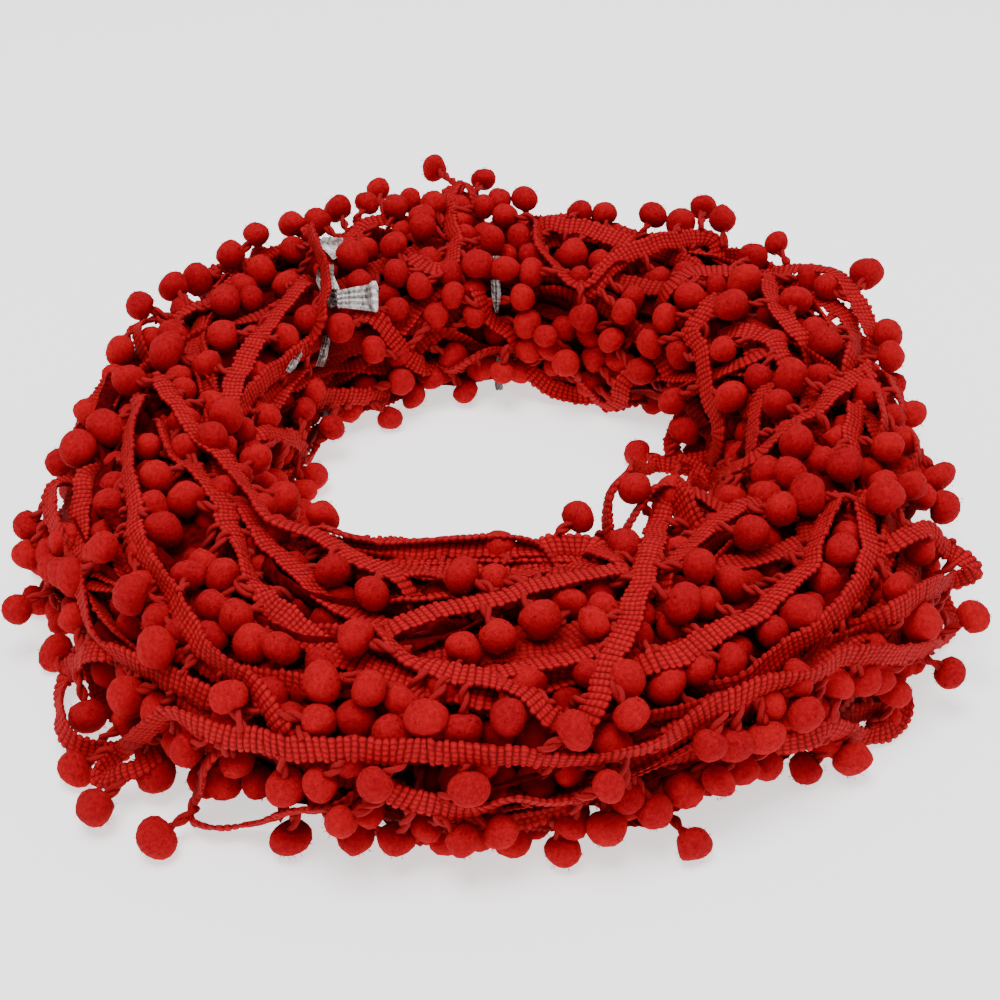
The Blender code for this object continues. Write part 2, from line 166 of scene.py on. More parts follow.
# pompoms that the photograph shows: place in the picture, diameter there, and 0 in front, 1 partly hidden, 2 deep
seenPompoms = (
    (28, 528, 27, 0), (33, 556, 32, 0), (17, 609, 31, 0), (41, 603, 26, 1), (65, 606, 26, 1), (53, 578, 27, 1),
    (68, 542, 24, 1), (56, 653, 36, 0), (78, 449, 38, 0), (108, 428, 38, 0), (94, 415, 30, 1), (114, 413, 24, 2),
    (114, 488, 28, 1), (157, 481, 38, 0), (188, 499, 39, 0), (160, 530, 40, 0), (149, 511, 26, 1),
    (106, 551, 34, 0), (133, 562, 30, 2), (129, 599, 43, 0), (131, 629, 38, 2), (190, 578, 35, 0),
    (227, 575, 37, 0), (237, 621, 36, 0), (217, 473, 30, 2), (251, 463, 34, 0), (280, 501, 36, 0),
    (300, 487, 28, 1), (312, 478, 27, 1), (303, 513, 31, 1), (321, 521, 25, 1), (278, 649, 33, 0),
    (253, 647, 28, 1), (277, 671, 32, 2), (218, 645, 28, 2), (156, 652, 40, 0), (88, 677, 34, 2), (92, 716, 40, 0),
    (127, 695, 38, 0), (130, 728, 33, 1), (229, 700, 36, 0), (187, 749, 30, 0), (316, 722, 38, 0),
    (318, 679, 32, 1), (297, 562, 34, 1), (333, 571, 34, 0), (305, 601, 28, 2), (161, 732, 30, 2),
    (155, 752, 28, 2), (80, 776, 38, 0), (98, 803, 42, 0), (157, 838, 42, 0), (156, 772, 39, 0), (222, 780, 36, 1),
    (261, 780, 30, 2), (290, 783, 33, 1), (320, 785, 39, 0), (339, 816, 37, 0), (357, 833, 39, 0),
    (237, 755, 32, 1), (290, 837, 41, 0), (146, 450, 36, 2), (191, 452, 30, 2), (230, 438, 24, 2),
    (378, 190, 24, 0), (336, 210, 29, 0), (367, 206, 26, 1), (410, 202, 24, 0), (292, 224, 26, 0),
    (316, 224, 26, 1), (423, 230, 28, 0), (357, 239, 27, 1), (353, 258, 31, 0), (395, 249, 28, 0),
    (396, 275, 27, 0), (421, 284, 28, 0), (387, 298, 25, 1), (418, 310, 30, 2), (292, 249, 29, 0),
    (255, 235, 28, 0), (230, 257, 22, 1), (260, 272, 33, 0), (199, 281, 30, 0), (177, 287, 25, 1),
    (223, 302, 32, 0), (252, 302, 29, 1), (141, 309, 30, 0), (120, 351, 33, 0), (176, 337, 40, 1),
    (171, 353, 40, 0), (193, 365, 30, 1), (220, 337, 36, 0), (255, 337, 30, 1), (285, 339, 30, 0),
    (311, 323, 30, 0), (340, 328, 30, 0), (353, 327, 34, 2), (378, 347, 28, 0), (355, 355, 30, 2),
    (337, 374, 26, 2), (133, 381, 42, 0), (218, 383, 32, 2), (223, 418, 38, 0), (278, 397, 26, 2),
    (296, 397, 24, 2), (314, 388, 28, 1), (310, 413, 22, 2), (292, 429, 29, 2), (251, 413, 24, 2),
    (330, 425, 26, 2), (400, 380, 27, 0), (417, 395, 28, 0), (390, 418, 25, 0), (435, 374, 26, 1),
    (432, 208, 26, 1), (424, 215, 24, 2), (397, 209, 24, 2), (500, 203, 20, 1), (466, 224, 24, 1),
    (434, 168, 28, 0), (482, 180, 24, 0), (522, 199, 28, 0), (481, 210, 26, 0), (505, 214, 24, 2),
    (458, 206, 24, 2), (492, 240, 27, 0), (520, 241, 29, 0), (471, 232, 22, 2), (477, 269, 32, 0),
    (506, 271, 26, 1), (530, 276, 29, 0), (450, 276, 26, 1), (472, 284, 24, 1), (450, 295, 25, 1),
    (518, 290, 22, 2), (525, 298, 25, 1), (472, 313, 24, 1), (526, 320, 25, 1), (475, 332, 24, 2),
    (545, 336, 27, 0), (565, 332, 24, 2), (526, 348, 22, 2), (573, 257, 34, 0), (585, 315, 30, 0),
    (625, 311, 28, 0), (666, 318, 31, 0), (650, 344, 28, 0), (611, 341, 30, 0), (596, 351, 26, 2),
    (569, 362, 27, 0), (546, 363, 22, 2), (523, 367, 24, 1), (502, 373, 25, 0), (441, 373, 28, 1),
    (465, 389, 26, 0), (612, 369, 26, 2), (643, 371, 26, 1), (668, 380, 27, 2), (689, 378, 24, 2),
    (629, 392, 22, 2), (675, 399, 30, 0), (652, 401, 28, 2), (602, 214, 25, 0), (581, 214, 18, 2),
    (654, 217, 29, 0), (703, 207, 26, 1), (721, 221, 30, 0), (680, 225, 24, 1), (675, 260, 27, 2),
    (627, 273, 27, 2), (691, 296, 32, 0), (733, 311, 30, 1), (724, 348, 28, 0), (733, 394, 32, 0),
    (709, 331, 28, 2), (551, 272, 26, 2), (753, 260, 29, 0), (776, 243, 24, 0), (867, 273, 31, 0),
    (829, 284, 30, 1), (806, 281, 26, 2), (744, 284, 34, 0), (729, 307, 34, 0), (790, 304, 31, 0),
    (822, 345, 34, 0), (818, 330, 30, 1), (885, 338, 31, 0), (887, 359, 27, 1), (789, 380, 36, 0),
    (778, 408, 30, 1), (812, 382, 24, 2), (861, 398, 26, 1), (686, 428, 33, 0), (741, 433, 26, 2),
    (793, 445, 38, 0), (831, 440, 36, 1), (843, 465, 38, 0), (887, 447, 33, 0), (905, 417, 24, 1),
    (864, 468, 30, 2), (790, 477, 36, 0), (811, 498, 42, 0), (778, 511, 38, 0), (672, 498, 40, 0),
    (714, 507, 34, 0), (769, 475, 34, 2), (883, 502, 40, 0), (912, 488, 32, 0), (933, 477, 24, 1),
    (942, 507, 38, 0), (844, 525, 34, 2), (637, 453, 28, 0), (731, 491, 24, 2), (577, 521, 28, 0),
    (637, 490, 32, 1), (748, 533, 40, 0), (847, 551, 40, 0), (822, 577, 36, 0), (620, 549, 38, 0),
    (682, 534, 34, 1), (695, 568, 36, 0), (748, 586, 32, 2), (768, 566, 30, 2), (878, 588, 30, 2),
    (680, 607, 40, 0), (674, 626, 36, 1), (602, 617, 38, 0), (804, 616, 42, 0), (918, 622, 42, 0),
    (973, 617, 34, 0), (846, 633, 34, 2), (737, 656, 40, 1), (817, 660, 34, 2), (696, 672, 34, 1),
    (664, 680, 42, 0), (632, 679, 44, 0), (630, 714, 38, 0), (862, 676, 38, 1), (893, 691, 38, 0),
    (950, 673, 34, 0), (802, 715, 38, 0), (850, 710, 34, 2), (879, 712, 32, 1), (762, 734, 40, 0),
    (707, 742, 36, 0), (732, 740, 30, 1), (611, 743, 24, 1), (604, 786, 40, 0), (718, 781, 37, 0),
    (766, 758, 34, 1), (809, 767, 38, 0), (849, 753, 34, 1), (651, 809, 40, 0), (606, 824, 42, 0),
    (565, 850, 39, 0), (694, 844, 38, 0), (642, 773, 36, 2), (374, 597, 38, 0), (395, 568, 26, 1),
    (369, 556, 30, 2), (355, 642, 43, 0), (459, 579, 38, 0), (501, 554, 38, 0), (496, 584, 34, 1),
    (495, 639, 40, 0), (466, 653, 32, 1), (430, 655, 28, 2), (541, 623, 44, 0), (570, 605, 28, 1),
    (598, 622, 36, 0), (420, 586, 30, 2), (441, 638, 30, 2), (368, 692, 38, 0), (359, 716, 34, 1),
    (319, 670, 36, 1), (300, 686, 30, 2), (425, 718, 43, 0), (465, 725, 36, 1), (507, 714, 42, 0),
    (496, 736, 38, 2), (539, 736, 30, 2), (393, 729, 30, 1), (574, 734, 44, 0), (565, 701, 30, 2),
    (379, 783, 38, 0), (468, 793, 40, 0), (433, 782, 32, 2), (504, 782, 30, 2), (537, 786, 30, 2),
    (399, 837, 38, 0), (464, 836, 38, 0), (500, 827, 40, 0), (539, 829, 32, 1), (574, 825, 26, 2), (291, 786, 36, 2))

# braid that the photograph shows: depth in the pile in mm, then places in the picture with the width seen there
seenBraid = (
    (4, (138, 399), (131, 425, 10), (127, 455), (130, 480), (133, 500, 17), (135, 540, 20), (147, 560),
     (160, 575, 14), (170, 590), (182, 610), (192, 630, 22), (203, 650), (220, 662, 14), (240, 672), (255, 690),
     (270, 710, 20), (280, 730, 22)),
    (9, (84, 479, 26), (82, 501), (80, 527), (78, 560, 17), (82, 590), (86, 615), (92, 635, 8), (105, 650, 12),
     (130, 660, 20), (160, 675, 25), (200, 692, 25), (215, 700)),
    (4, (158, 380), (169, 393), (182, 408), (190, 425), (203, 440), (221, 455, 18), (237, 475), (247, 490, 14),
     (263, 510), (270, 520, 10), (300, 528, 14), (335, 543, 18), (355, 558), (375, 568, 20), (395, 576, 16)),
    (8, (163, 425), (170, 450), (175, 462, 9), (195, 468), (210, 488), (225, 505), (226, 522, 25), (243, 548, 12),
     (250, 578, 14), (265, 597, 25), (290, 621, 30), (310, 640, 30), (345, 660, 24), (395, 675), (440, 690),
     (480, 697)),
    (9, (240, 500), (250, 515), (262, 535), (275, 550), (290, 565), (305, 578, 20), (320, 597), (335, 608, 16),
     (370, 620), (392, 627)),
    (4, (400, 625), (430, 612, 20), (460, 605), (490, 600), (520, 590, 19), (550, 583, 17), (580, 576),
     (615, 571, 14)),
    (9, (515, 578), (555, 565, 16), (600, 567)),
    (4, (378, 628, 6), (388, 638), (398, 650, 12), (412, 660), (430, 668, 20), (460, 675, 24), (485, 678, 20),
     (510, 685, 16), (530, 697, 18), (545, 712, 22)),
    (6, (500, 672), (540, 665), (580, 655), (605, 645, 16)),
    (13, (530, 690, 14), (565, 682), (600, 670)),
    (3, (663, 505), (660, 515), (651, 550), (640, 588, 25), (629, 624), (613, 652, 25), (600, 688), (591, 711)),
    (3, (108, 765), (122, 752), (143, 732, 20), (158, 717), (170, 713, 12), (200, 728, 22), (230, 738, 25),
     (300, 749, 26), (400, 750, 26), (460, 754, 24), (520, 758, 20), (560, 761, 14), (600, 761, 10), (650, 745, 8),
     (672, 737), (701, 714, 20), (724, 701, 25), (750, 692), (775, 683), (806, 679, 12), (828, 670), (840, 656),
     (862, 654, 20), (895, 654, 20), (929, 650), (947, 634), (951, 620)),
    (5, (835, 500, 14), (824, 525), (815, 545), (811, 565), (793, 580, 18), (775, 596), (757, 612, 20), (735, 625),
     (717, 632), (695, 645, 25), (679, 656), (661, 661)),
    (5, (745, 503), (730, 511), (715, 522), (698, 537, 18), (685, 550), (672, 565, 16)),
    (11, (720, 565), (745, 563, 18), (775, 553), (795, 545, 18)),
    (6, (864, 504), (866, 529, 19), (871, 551), (864, 578), (851, 598, 20), (835, 616), (822, 629), (804, 638),
     (775, 656), (762, 670), (748, 679)),
    (10, (890, 515, 16), (887, 560)),
    (13, (907, 535, 14), (905, 560)),
    (3, (913, 533), (931, 527), (947, 549), (974, 567), (980, 574), (962, 578), (936, 585, 20), (913, 598),
     (893, 614)),
    (5, (806, 741), (824, 728), (840, 732), (862, 737, 24), (884, 734), (898, 723), (902, 712)),
    (6, (385, 790), (400, 797), (420, 804, 25), (455, 808, 22), (475, 812), (490, 805, 8), (505, 800), (520, 797),
     (540, 803), (580, 800, 8)),
    (5, (84, 655, 20), (70, 667, 20), (62, 685, 18), (60, 705, 17), (60, 727, 18), (68, 740, 24), (84, 746, 24),
     (102, 751, 22)),
    (3, (450, 196, 12), (453, 186, 9), (461, 180, 8), (468, 183, 8), (473, 194, 7)),
    (4, (204, 770, 8), (201, 793), (190, 806), (189, 822), (217, 830), (242, 826), (268, 821), (293, 811),
     (319, 810, 8)),
    (4, (328, 528, 8), (345, 536, 10), (370, 540), (400, 541, 9), (440, 540), (480, 536, 9), (510, 537, 8),
     (530, 541, 7)),
    (8, (328, 540, 14), (350, 547, 22), (385, 549, 25), (420, 549), (460, 548), (495, 547), (528, 550, 22)),
    (12, (452, 566, 14), (480, 566, 20), (510, 565, 22), (545, 561, 16)),
    (5, (512, 556, 12), (532, 550, 20), (556, 544, 27), (580, 543, 27), (603, 552, 18), (618, 560, 10)),
    (13, (330, 552, 16), (380, 560), (440, 560), (500, 558), (560, 556), (610, 562)),
    (6, (402, 575, 9), (420, 573), (440, 577)),
    (8, (400, 598, 9), (420, 600), (445, 595)),
    (4, (301, 284), (279, 310), (266, 328, 14), (253, 345, 20), (240, 369), (232, 393), (229, 403)),
    (6, (312, 345), (290, 360, 17), (268, 377), (249, 395), (238, 410)),
    (5, (52, 490), (50, 512, 17), (58, 533)),
    (5, (268, 432), (286, 436), (301, 445), (299, 464), (288, 477)),
    (6, (340, 419), (334, 436, 12), (312, 458)),
    (6, (329, 401), (352, 398, 18), (378, 395)),
    (7, (140, 324, 12), (162, 316)),
    (7, (176, 318, 12), (195, 306)),
    (5, (215, 270), (240, 262, 14)),
    (4, (345, 232), (362, 221, 15), (382, 219), (397, 219)),
    (5, (449, 195), (447, 212, 15), (451, 228), (456, 243), (453, 260), (447, 271), (432, 271), (412, 260)),
    (5, (367, 314), (380, 325, 18), (393, 338), (404, 353), (419, 366)),
    (5, (482, 299), (486, 316, 15), (497, 327), (512, 336), (514, 349), (503, 358, 8), (486, 353), (469, 360),
     (458, 368)),
    (4, (538, 223), (540, 247, 8), (553, 264), (568, 282), (584, 290), (594, 280), (612, 262)),
    (4, (551, 223), (584, 228, 18), (605, 236), (625, 241)),
    (6, (536, 379), (562, 392, 20), (587, 397, 18)),
    (5, (576, 378, 7), (592, 396, 8), (606, 410, 10), (620, 402, 20), (622, 388, 20)),
    (4, (593, 286), (614, 262), (636, 249, 20), (658, 243), (681, 239), (701, 236)),
    (5, (675, 282), (690, 271, 14), (712, 271), (733, 273)),
    (5, (710, 304, 20), (699, 319), (688, 332), (699, 345), (703, 364, 17), (707, 386), (712, 408), (720, 425, 16),
     (718, 447), (710, 462)),
    (6, (766, 275), (777, 314), (799, 332)),
    (4, (786, 269, 14), (806, 267, 12), (828, 269, 12), (842, 277, 14), (849, 288, 17), (857, 303, 20),
     (866, 319, 20), (873, 336, 16)),
    (7, (797, 285, 15), (812, 293), (830, 304, 19), (847, 317, 19), (855, 335, 17), (853, 357, 15)),
    (4, (868, 371), (846, 382, 20), (827, 399), (814, 414), (794, 419, 8), (777, 436), (762, 453), (746, 464, 15),
     (725, 473), (701, 484, 20), (681, 490)),
    (7, (764, 392), (755, 410, 15), (755, 429), (751, 447)),
    (6, (738, 332), (755, 332, 17), (772, 338), (781, 353)),
    (8, (720, 373), (738, 366, 12), (751, 358), (764, 353)),
    (7, (855, 408), (853, 429, 18), (853, 447)),
    (5, (870, 375), (881, 397, 8), (885, 418)),
    (5, (680, 464, 18), (657, 463, 17), (634, 468, 14), (617, 480, 9), (607, 497, 9), (604, 518, 12), (610, 542, 14)),
    (5, (652, 488, 7), (642, 501, 9), (634, 515, 9), (625, 531, 12)),
    (10, (672, 453, 20), (680, 462, 26), (692, 470, 26), (706, 478, 20)),
    (12, (702, 440, 22), (692, 455, 26), (680, 470, 26), (672, 484, 20)),
    (-1, (309, 230, 9), (314, 243), (321, 256, 8), (326, 268), (327, 282), (326, 293), (321, 305), (323, 314, 8)),
    (5, (887, 376, 10), (895, 391), (903, 405)),
    (5, (916, 439, 10), (918, 454)))

# spots where the photograph shows bare floor beside the pile, or the back tie's film in it: place and radius there
openFloor = np.array((
    (496, 299, 4), (250, 812, 26), (285, 812, 16), (220, 806, 14), (38, 640, 22), (75, 640, 6), (50, 500, 10),
    (622, 512, 20), (650, 481, 12), (730, 815, 24), (768, 796, 16), (700, 822, 12), (640, 425, 24), (600, 480, 40),
    (480, 470, 90), (380, 480, 55), (930, 700, 16), (912, 520, 8), (985, 660, 20), (760, 800, 16), (690, 815, 10),
    (250, 865, 30), (560, 895, 20), (24, 580, 10), (930, 440, 10)), float)


def overOpenFloor(points, margin):
    # true for points that would hide a spot of bare floor
    away = points - eye
    forward = away[..., 1] * math.cos(pitch) - away[..., 2] * math.sin(pitch)
    downward = -away[..., 1] * math.sin(pitch) - away[..., 2] * math.cos(pitch)
    px = picture["middle"] + picture["focal"] * away[..., 0] / forward
    py = picture["middle"] + picture["focal"] * downward / forward
    inSpot = np.hypot(px[..., None] - openFloor[:, 0], py[..., None] - openFloor[:, 1]) < openFloor[:, 2] + margin
    return inSpot.any(-1)


trim = {"braidWidth": 0.0080, "braidThick": 0.0016, "ribPitch": 0.0022, "pompomGap": 0.0205, "pompom": 0.0118,
        "stalk": 0.0050, "plyRadius": 0.00108, "plyTwist": 0.0110, "dive": 0.032, "lineGap": 0.0015, "edge": 0.0038}
ties = {"tie_left": {"point": (-0.0680, 0.0980), "run": 92.0, "width": 0.0050, "aside": 0.0038},
        "tie_back": {"point": (-0.0015, 0.1240), "run": 90.0, "width": 0.0034, "aside": 0.0}}
tieGrip = {"across": 0.0065, "along": 0.060, "depth": 0.0095}


def tiePlane(name):
    run = math.radians(ties[name]["run"])
    x, y = ties[name]["point"]
    point = np.array((x + hank["centreX"], y + hank["centreY"], hank["centreHeight"]))
    return point, np.array((math.cos(run), math.sin(run), 0.0)), np.array((-math.sin(run), math.cos(run), 0.0))


def tiePinch(points):
    # near 1 where a tie pulls the braid in
    pinch = np.zeros(points.shape[:-1])
    for name in ties:
        point, along, across = tiePlane(name)
        off = (points - point) @ across
        beside = (points - point) @ along
        pinch = np.maximum(pinch, np.exp(-(off / tieGrip["across"]) ** 2) * (np.abs(beside) < tieGrip["along"]))
    return pinch


def evenly(points, gap, extra=None):
    # points at even spacing along a line, with any further columns carried along
    span = np.concatenate([[0], np.cumsum(np.linalg.norm(np.diff(points, axis=0), axis=1))])
    places = np.linspace(0, span[-1], max(4, int(round(span[-1] / gap)) + 1))
    made = np.stack([np.interp(places, span, points[:, k]) for k in range(points.shape[1])], -1)
    return (made, np.interp(places, span, extra)) if extra is not None else made


def smooth(values, reach):
    # a running mean that keeps the ends
    kernel = np.hanning(2 * reach + 3)[1:-1]
    kernel /= kernel.sum()
    if values.ndim == 1:
        return np.convolve(np.pad(values, reach, mode="reflect", reflect_type="odd"), kernel, "valid")
    return np.stack([smooth(values[:, k], reach) for k in range(values.shape[1])], -1)


# a braid that goes out of sight turns down at each step, eases off below a depth, and follows the ring
diving = {"down": 0.22, "easeDepth": 0.018, "easeOff": -0.05, "follow": 0.06, "lowest": 0.004}


def dive(start, heading, length, gap):
    # the stretch where a braid goes down between the other laps
    points, place, way = [], start.copy(), heading.copy()
    for _ in range(int(length / gap)):
        around = math.atan2(place[1] - hank["centreY"], place[0] - hank["centreX"])
        middle = sectionPoint(np.array(around), np.array(0.0), np.array(0.0))
        inward = unit(middle - place)
        onward = np.array((-math.sin(around), math.cos(around), 0.0))
        onward *= math.copysign(1, float(way @ onward))
        pull = diving["down"] if float(depthIn(place)) < diving["easeDepth"] else diving["easeOff"]
        way = unit(way + inward * pull + onward * diving["follow"])
        place = place + way * gap
        place[2] = max(place[2], diving["lowest"])
        points.append(place.copy())
    return points


# how a braid is read: step and usual width in the picture, and how far it rolls edge on, out of sight and to the eye
reading = {"step": 3.0, "usualWidth": 17, "floorGap": 0.005, "edgeOn": 0.22, "hiddenRoll": 0.9,
           "toEye": 0.8, "toOutside": 0.2}


def braidFromPicture(row):
    depth, marks = row[0] / 1000, row[1:]
    spots = np.array([mark[:2] for mark in marks], float)
    known = [(number, mark[2]) for number, mark in enumerate(marks) if len(mark) == 3] or [(0, reading["usualWidth"])]
    width = np.interp(np.arange(len(marks)), *zip(*known))
    spots, width = evenly(spots, reading["step"], width)
    spots, width = smooth(spots, 3), smooth(width, 4)
    along = np.array([ontoPile(x, y, depth, reading["floorGap"]) for x, y in spots])
    along = smooth(along, min(6, len(along) - 2))
    line = eye + along[:, None] * rayThrough(spots[:, 0], spots[:, 1])
    full = trim["braidWidth"] * picture["focal"] / along
    roll = np.arccos(np.clip(width / full, reading["edgeOn"], 1.0))
    line, roll = evenly(line, trim["lineGap"], roll)
    before = dive(line[0], unit(line[0] - line[3]), trim["dive"], trim["lineGap"])[::-1]
    after = dive(line[-1], unit(line[-1] - line[-4]), trim["dive"], trim["lineGap"])
    seen = np.concatenate([np.zeros(len(before), bool), np.ones(len(line), bool), np.zeros(len(after), bool)])
    line = smooth(np.concatenate([before, line, after]), 3)
    hidden = reading["hiddenRoll"]
    roll = np.concatenate([np.linspace(hidden, roll[0], len(before)), roll, np.linspace(roll[-1], hidden, len(after))])
    heading = unit(np.gradient(line, axis=0))
    outward = outwardAt(line)
    face = unit(unit(eye - line) * reading["toEye"] + outward * reading["toOutside"])
    face = unit(face - heading * (face * heading).sum(-1)[:, None])
    side = np.cross(heading, face)
    # the far edge of a rolled braid goes down into the pile
    lower = np.sign((side * outward).sum(-1).mean() or 1.0)
    across = side * np.cos(roll)[:, None] - face * (np.sin(roll) * lower)[:, None]
    return {"line": line, "across": smooth(across, 2), "seen": seen, "overTie": depth < 0}


def wander(places, waves, seed):
    # a smooth random curve between about -1 and 1
    dice = np.random.default_rng(seed)
    total = np.zeros_like(places)
    for low, high, strength in waves:
        total += strength * np.sin(places * dice.uniform(low, high) + dice.uniform(0, 6.28))
    return total


# laps under and behind what the photograph shows: one braid wound round and round the ring, and a plain one inside it
winding = {"turns": 16, "coreTurns": 12, "lap": 0.78, "sample": 0.003, "step": 0.382, "seed": 5,
           "shownDepth": 0.0120, "hiddenDepth": 0.0045, "tieDepth": 0.006, "lowest": 0.0035}


def facingEye(points):
    # 1 on the side of the pile that the photograph shows, 0 on the far side
    look = (outwardAt(points) * unit(eye - points)).sum(-1)
    return np.clip((look + 0.12) / 0.30, 0, 1)


def rolled(line, side, face, roll):
    # a braid out of sight, turned about its line
    across = side * np.cos(roll)[:, None] + face * np.sin(roll)[:, None]
    return {"line": line, "across": smooth(across, 2), "seen": np.zeros(len(line), bool)}


def woundBraid():
    turns, seed, gap = winding["turns"], winding["seed"], trim["lineGap"]
    around = np.linspace(0, 2 * math.pi * turns, int(turns * winding["lap"] / winding["sample"]))
    lap = around / (2 * math.pi)
    swing = wander(around, ((0.8, 1.6, 1.0), (2.2, 3.4, 0.55), (4.5, 6.0, 0.25)), seed)
    turn = 2 * math.pi * winding["step"] * lap + 0.62 * swing
    share = 0.90 + 0.07 * wander(around, ((1.4, 2.4, 1.0), (3.5, 5.5, 0.6)), seed + 1)
    drift = wander(around, ((2.0, 3.0, 1.0),), seed + 2)
    line = sectionPoint(around + 0.10 * drift, turn, np.clip(share, 0.3, 0.97))
    for _ in range(12):
        # it sinks to its depth, most under a tie, and keeps off the spots of bare floor
        wanted = winding["hiddenDepth"] + (winding["shownDepth"] - winding["hiddenDepth"]) * facingEye(line)
        wanted = wanted + winding["tieDepth"] * tiePinch(line)
        short = np.clip(wanted - depthIn(line), 0, 0.01)
        line = line - outwardAt(line) * short[:, None] * 0.6
        crossing = smooth(overOpenFloor(line, 12).astype(float), 6)
        line = line - outwardAt(line) * crossing[:, None] * 0.0022
        line[:, 2] = np.maximum(line[:, 2], winding["lowest"])
    line = smooth(evenly(smooth(line, 3), gap), 4)
    heading = unit(np.gradient(line, axis=0))
    outward = smooth(outwardAt(line), 8)
    face = unit(outward - heading * (outward * heading).sum(-1)[:, None])
    roll = 0.85 * wander(np.arange(len(line)) * gap, ((22, 34, 1.0), (50, 75, 0.55)), seed + 3)
    return rolled(line, np.cross(heading, face), face, roll)


def coreBraid():
    # laps in the thick of the pile, which only show as dark red between the others; that dark red is painted shade
    turns, seed, gap = winding["coreTurns"], winding["seed"], trim["lineGap"]
    around = np.linspace(0, 2 * math.pi * turns, int(turns * winding["lap"] / winding["sample"]))
    swing = wander(around, ((0.8, 1.6, 1.0), (2.5, 4.5, 0.6)), seed + 7)
    turn = 2 * math.pi * winding["step"] * around / (2 * math.pi) + 0.9 * swing
    share = 0.60 + 0.15 * wander(around, ((1.4, 2.4, 1.0), (3.5, 5.5, 0.4)), seed + 8)
    line = sectionPoint(around, turn, np.clip(share, 0.1, 0.80))
    line[:, 2] = np.maximum(line[:, 2], winding["lowest"])
    line = smooth(evenly(smooth(line, 3), gap), 4)
    heading = unit(np.gradient(line, axis=0))
    face = unit(np.array((0.0, 0.0, 1.0)) - heading * heading[:, 2:3])
    roll = 1.2 * wander(np.arange(len(line)) * gap, ((12, 24, 1.0), (40, 60, 0.5)), seed + 9)
    return rolled(line, np.cross(heading, face), face, roll)


print("placing the braid")
seenRuns = [braidFromPicture(row) for row in seenBraid]
for run in seenRuns:
    pinch = tiePinch(run["line"]) * (not run["overTie"])
    short = np.clip(tieGrip["depth"] - depthIn(run["line"]), 0, 0.01) * pinch
    run["line"] = run["line"] - outwardAt(run["line"]) * short[:, None]
    run["line"][:, 2] = np.maximum(run["line"][:, 2], 0.0030)
woundRun = woundBraid()
coreRun = coreBraid()

braidPoints = np.concatenate([run["line"] for run in seenRuns] + [woundRun["line"]])
braidAcross = unit(np.concatenate([run["across"] for run in seenRuns] + [woundRun["across"]]))
braidSeen = np.concatenate([run["seen"] for run in seenRuns] + [woundRun["seen"]])

# pompoms in the picture, then those that hang from the wound laps
print("placing the pompoms")
seenDepths = {0: 0.0060, 1: 0.0105, 2: 0.0165}
seenRadius = (0.0052, 0.0070)
centres, radii, sights = [], [], []
for px, py, diameter, level in seenPompoms:
    radius = trim["pompom"] / 2
    along = ontoPile(px, py, seenDepths[level], radius)
    if level == 0:
        radius = float(np.clip(diameter * along / picture["focal"] / 2, *seenRadius))
        along = ontoPile(px, py, radius, radius)
    else:
        radius *= chance.uniform(0.95, 1.06)
    sight = rayThrough(px, py)
    centres.append(eye + along * sight)
    radii.append(radius)
    sights.append(unit(sight))
seenCount = len(centres)

every = int(round(trim["pompomGap"] / trim["lineGap"]))
for number in range(6, len(woundRun["line"]) - 6, every):
    place, across = woundRun["line"][number], unit(woundRun["across"][number])
    outward = outwardAt(place)
    radius = trim["pompom"] / 2 * chance.uniform(0.93, 1.07)
    swing = unit(across + 0.35 * chance.normal(size=3) + 0.25 * outward)
    centre = place + across * trim["braidWidth"] / 2 + swing * (trim["stalk"] + radius)
    centre[2] = max(centre[2], radius)
    centres.append(centre)
    radii.append(radius)
    sights.append(np.zeros(3))
centres, radii, sights = np.array(centres), np.array(radii), np.array(sights)
isSeen = np.arange(len(centres)) < seenCount
home = centres.copy()


def tieSamples():
    samples = []
    for name in ties:
        point, along, _ = tiePlane(name)
        for x, z in tieHull(name):
            samples.append(point + along * x + np.array((0, 0, z)))
    return np.array(samples)


def tieHull(name):
    # the outline of the tie's solid in its own plane, evenly spaced
    point, along, across = tiePlane(name)
    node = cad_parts[name]
    flat = []
    for vertex in node.data.vertices:
        place = np.array(node.matrix_world @ vertex.co) - point
        if abs(abs(place @ across) - ties[name]["width"] / 2) < 0.00003:
            flat.append(Vector((place @ along, place[2])))
    hull = [flat[number] for number in convex_hull_2d(flat)]
    ring = np.array([(v.x, v.y) for v in hull + hull[:1]])
    return evenly(ring, 0.0026)[:-1]


bandPoints = tieSamples()


def pairsWithin(first, second, reach):
    # every pair of one place in each list that are closer than this, sorted by the first
    found = []
    for start in range(0, len(first), 250):
        gap = first[start:start + 250, None, :] - second[None, :, :]
        one, two = np.nonzero((gap * gap).sum(-1) < reach * reach)
        found.append(np.stack([one + start, two]))
    return np.concatenate(found, 1)


def strongest(count, rows, amount, way):
    # for each pompom, the push of the pair that is most too close
    pushed = np.zeros((count, 3))
    order = np.lexsort((amount, rows))
    last = np.nonzero(np.append(np.diff(rows[order]) != 0, True))[0]
    best = order[last]
    pushed[rows[best]] = way[best] * amount[best][:, None]
    return pushed


def offBraid(places, laps, ways):
    # from the nearest spot across the braid's width to each place
    toward, half = places - laps, trim["braidWidth"] / 2
    return toward - np.clip((toward * ways).sum(-1), -half, half)[:, None] * ways


# how pompoms give way: reach of the search and rounds until the next, how close they press, and how far each moves
settling = {"ballReach": 0.020, "bandReach": 0.017, "again": 12, "press": 0.95, "skin": 0.0008, "pace": 0.7,
            "seenShare": 0.15, "hiddenShare": 0.85, "braidPush": 0.6, "sightPush": 0.8, "sidePush": 0.45,
            "sideRoom": 0.0013}


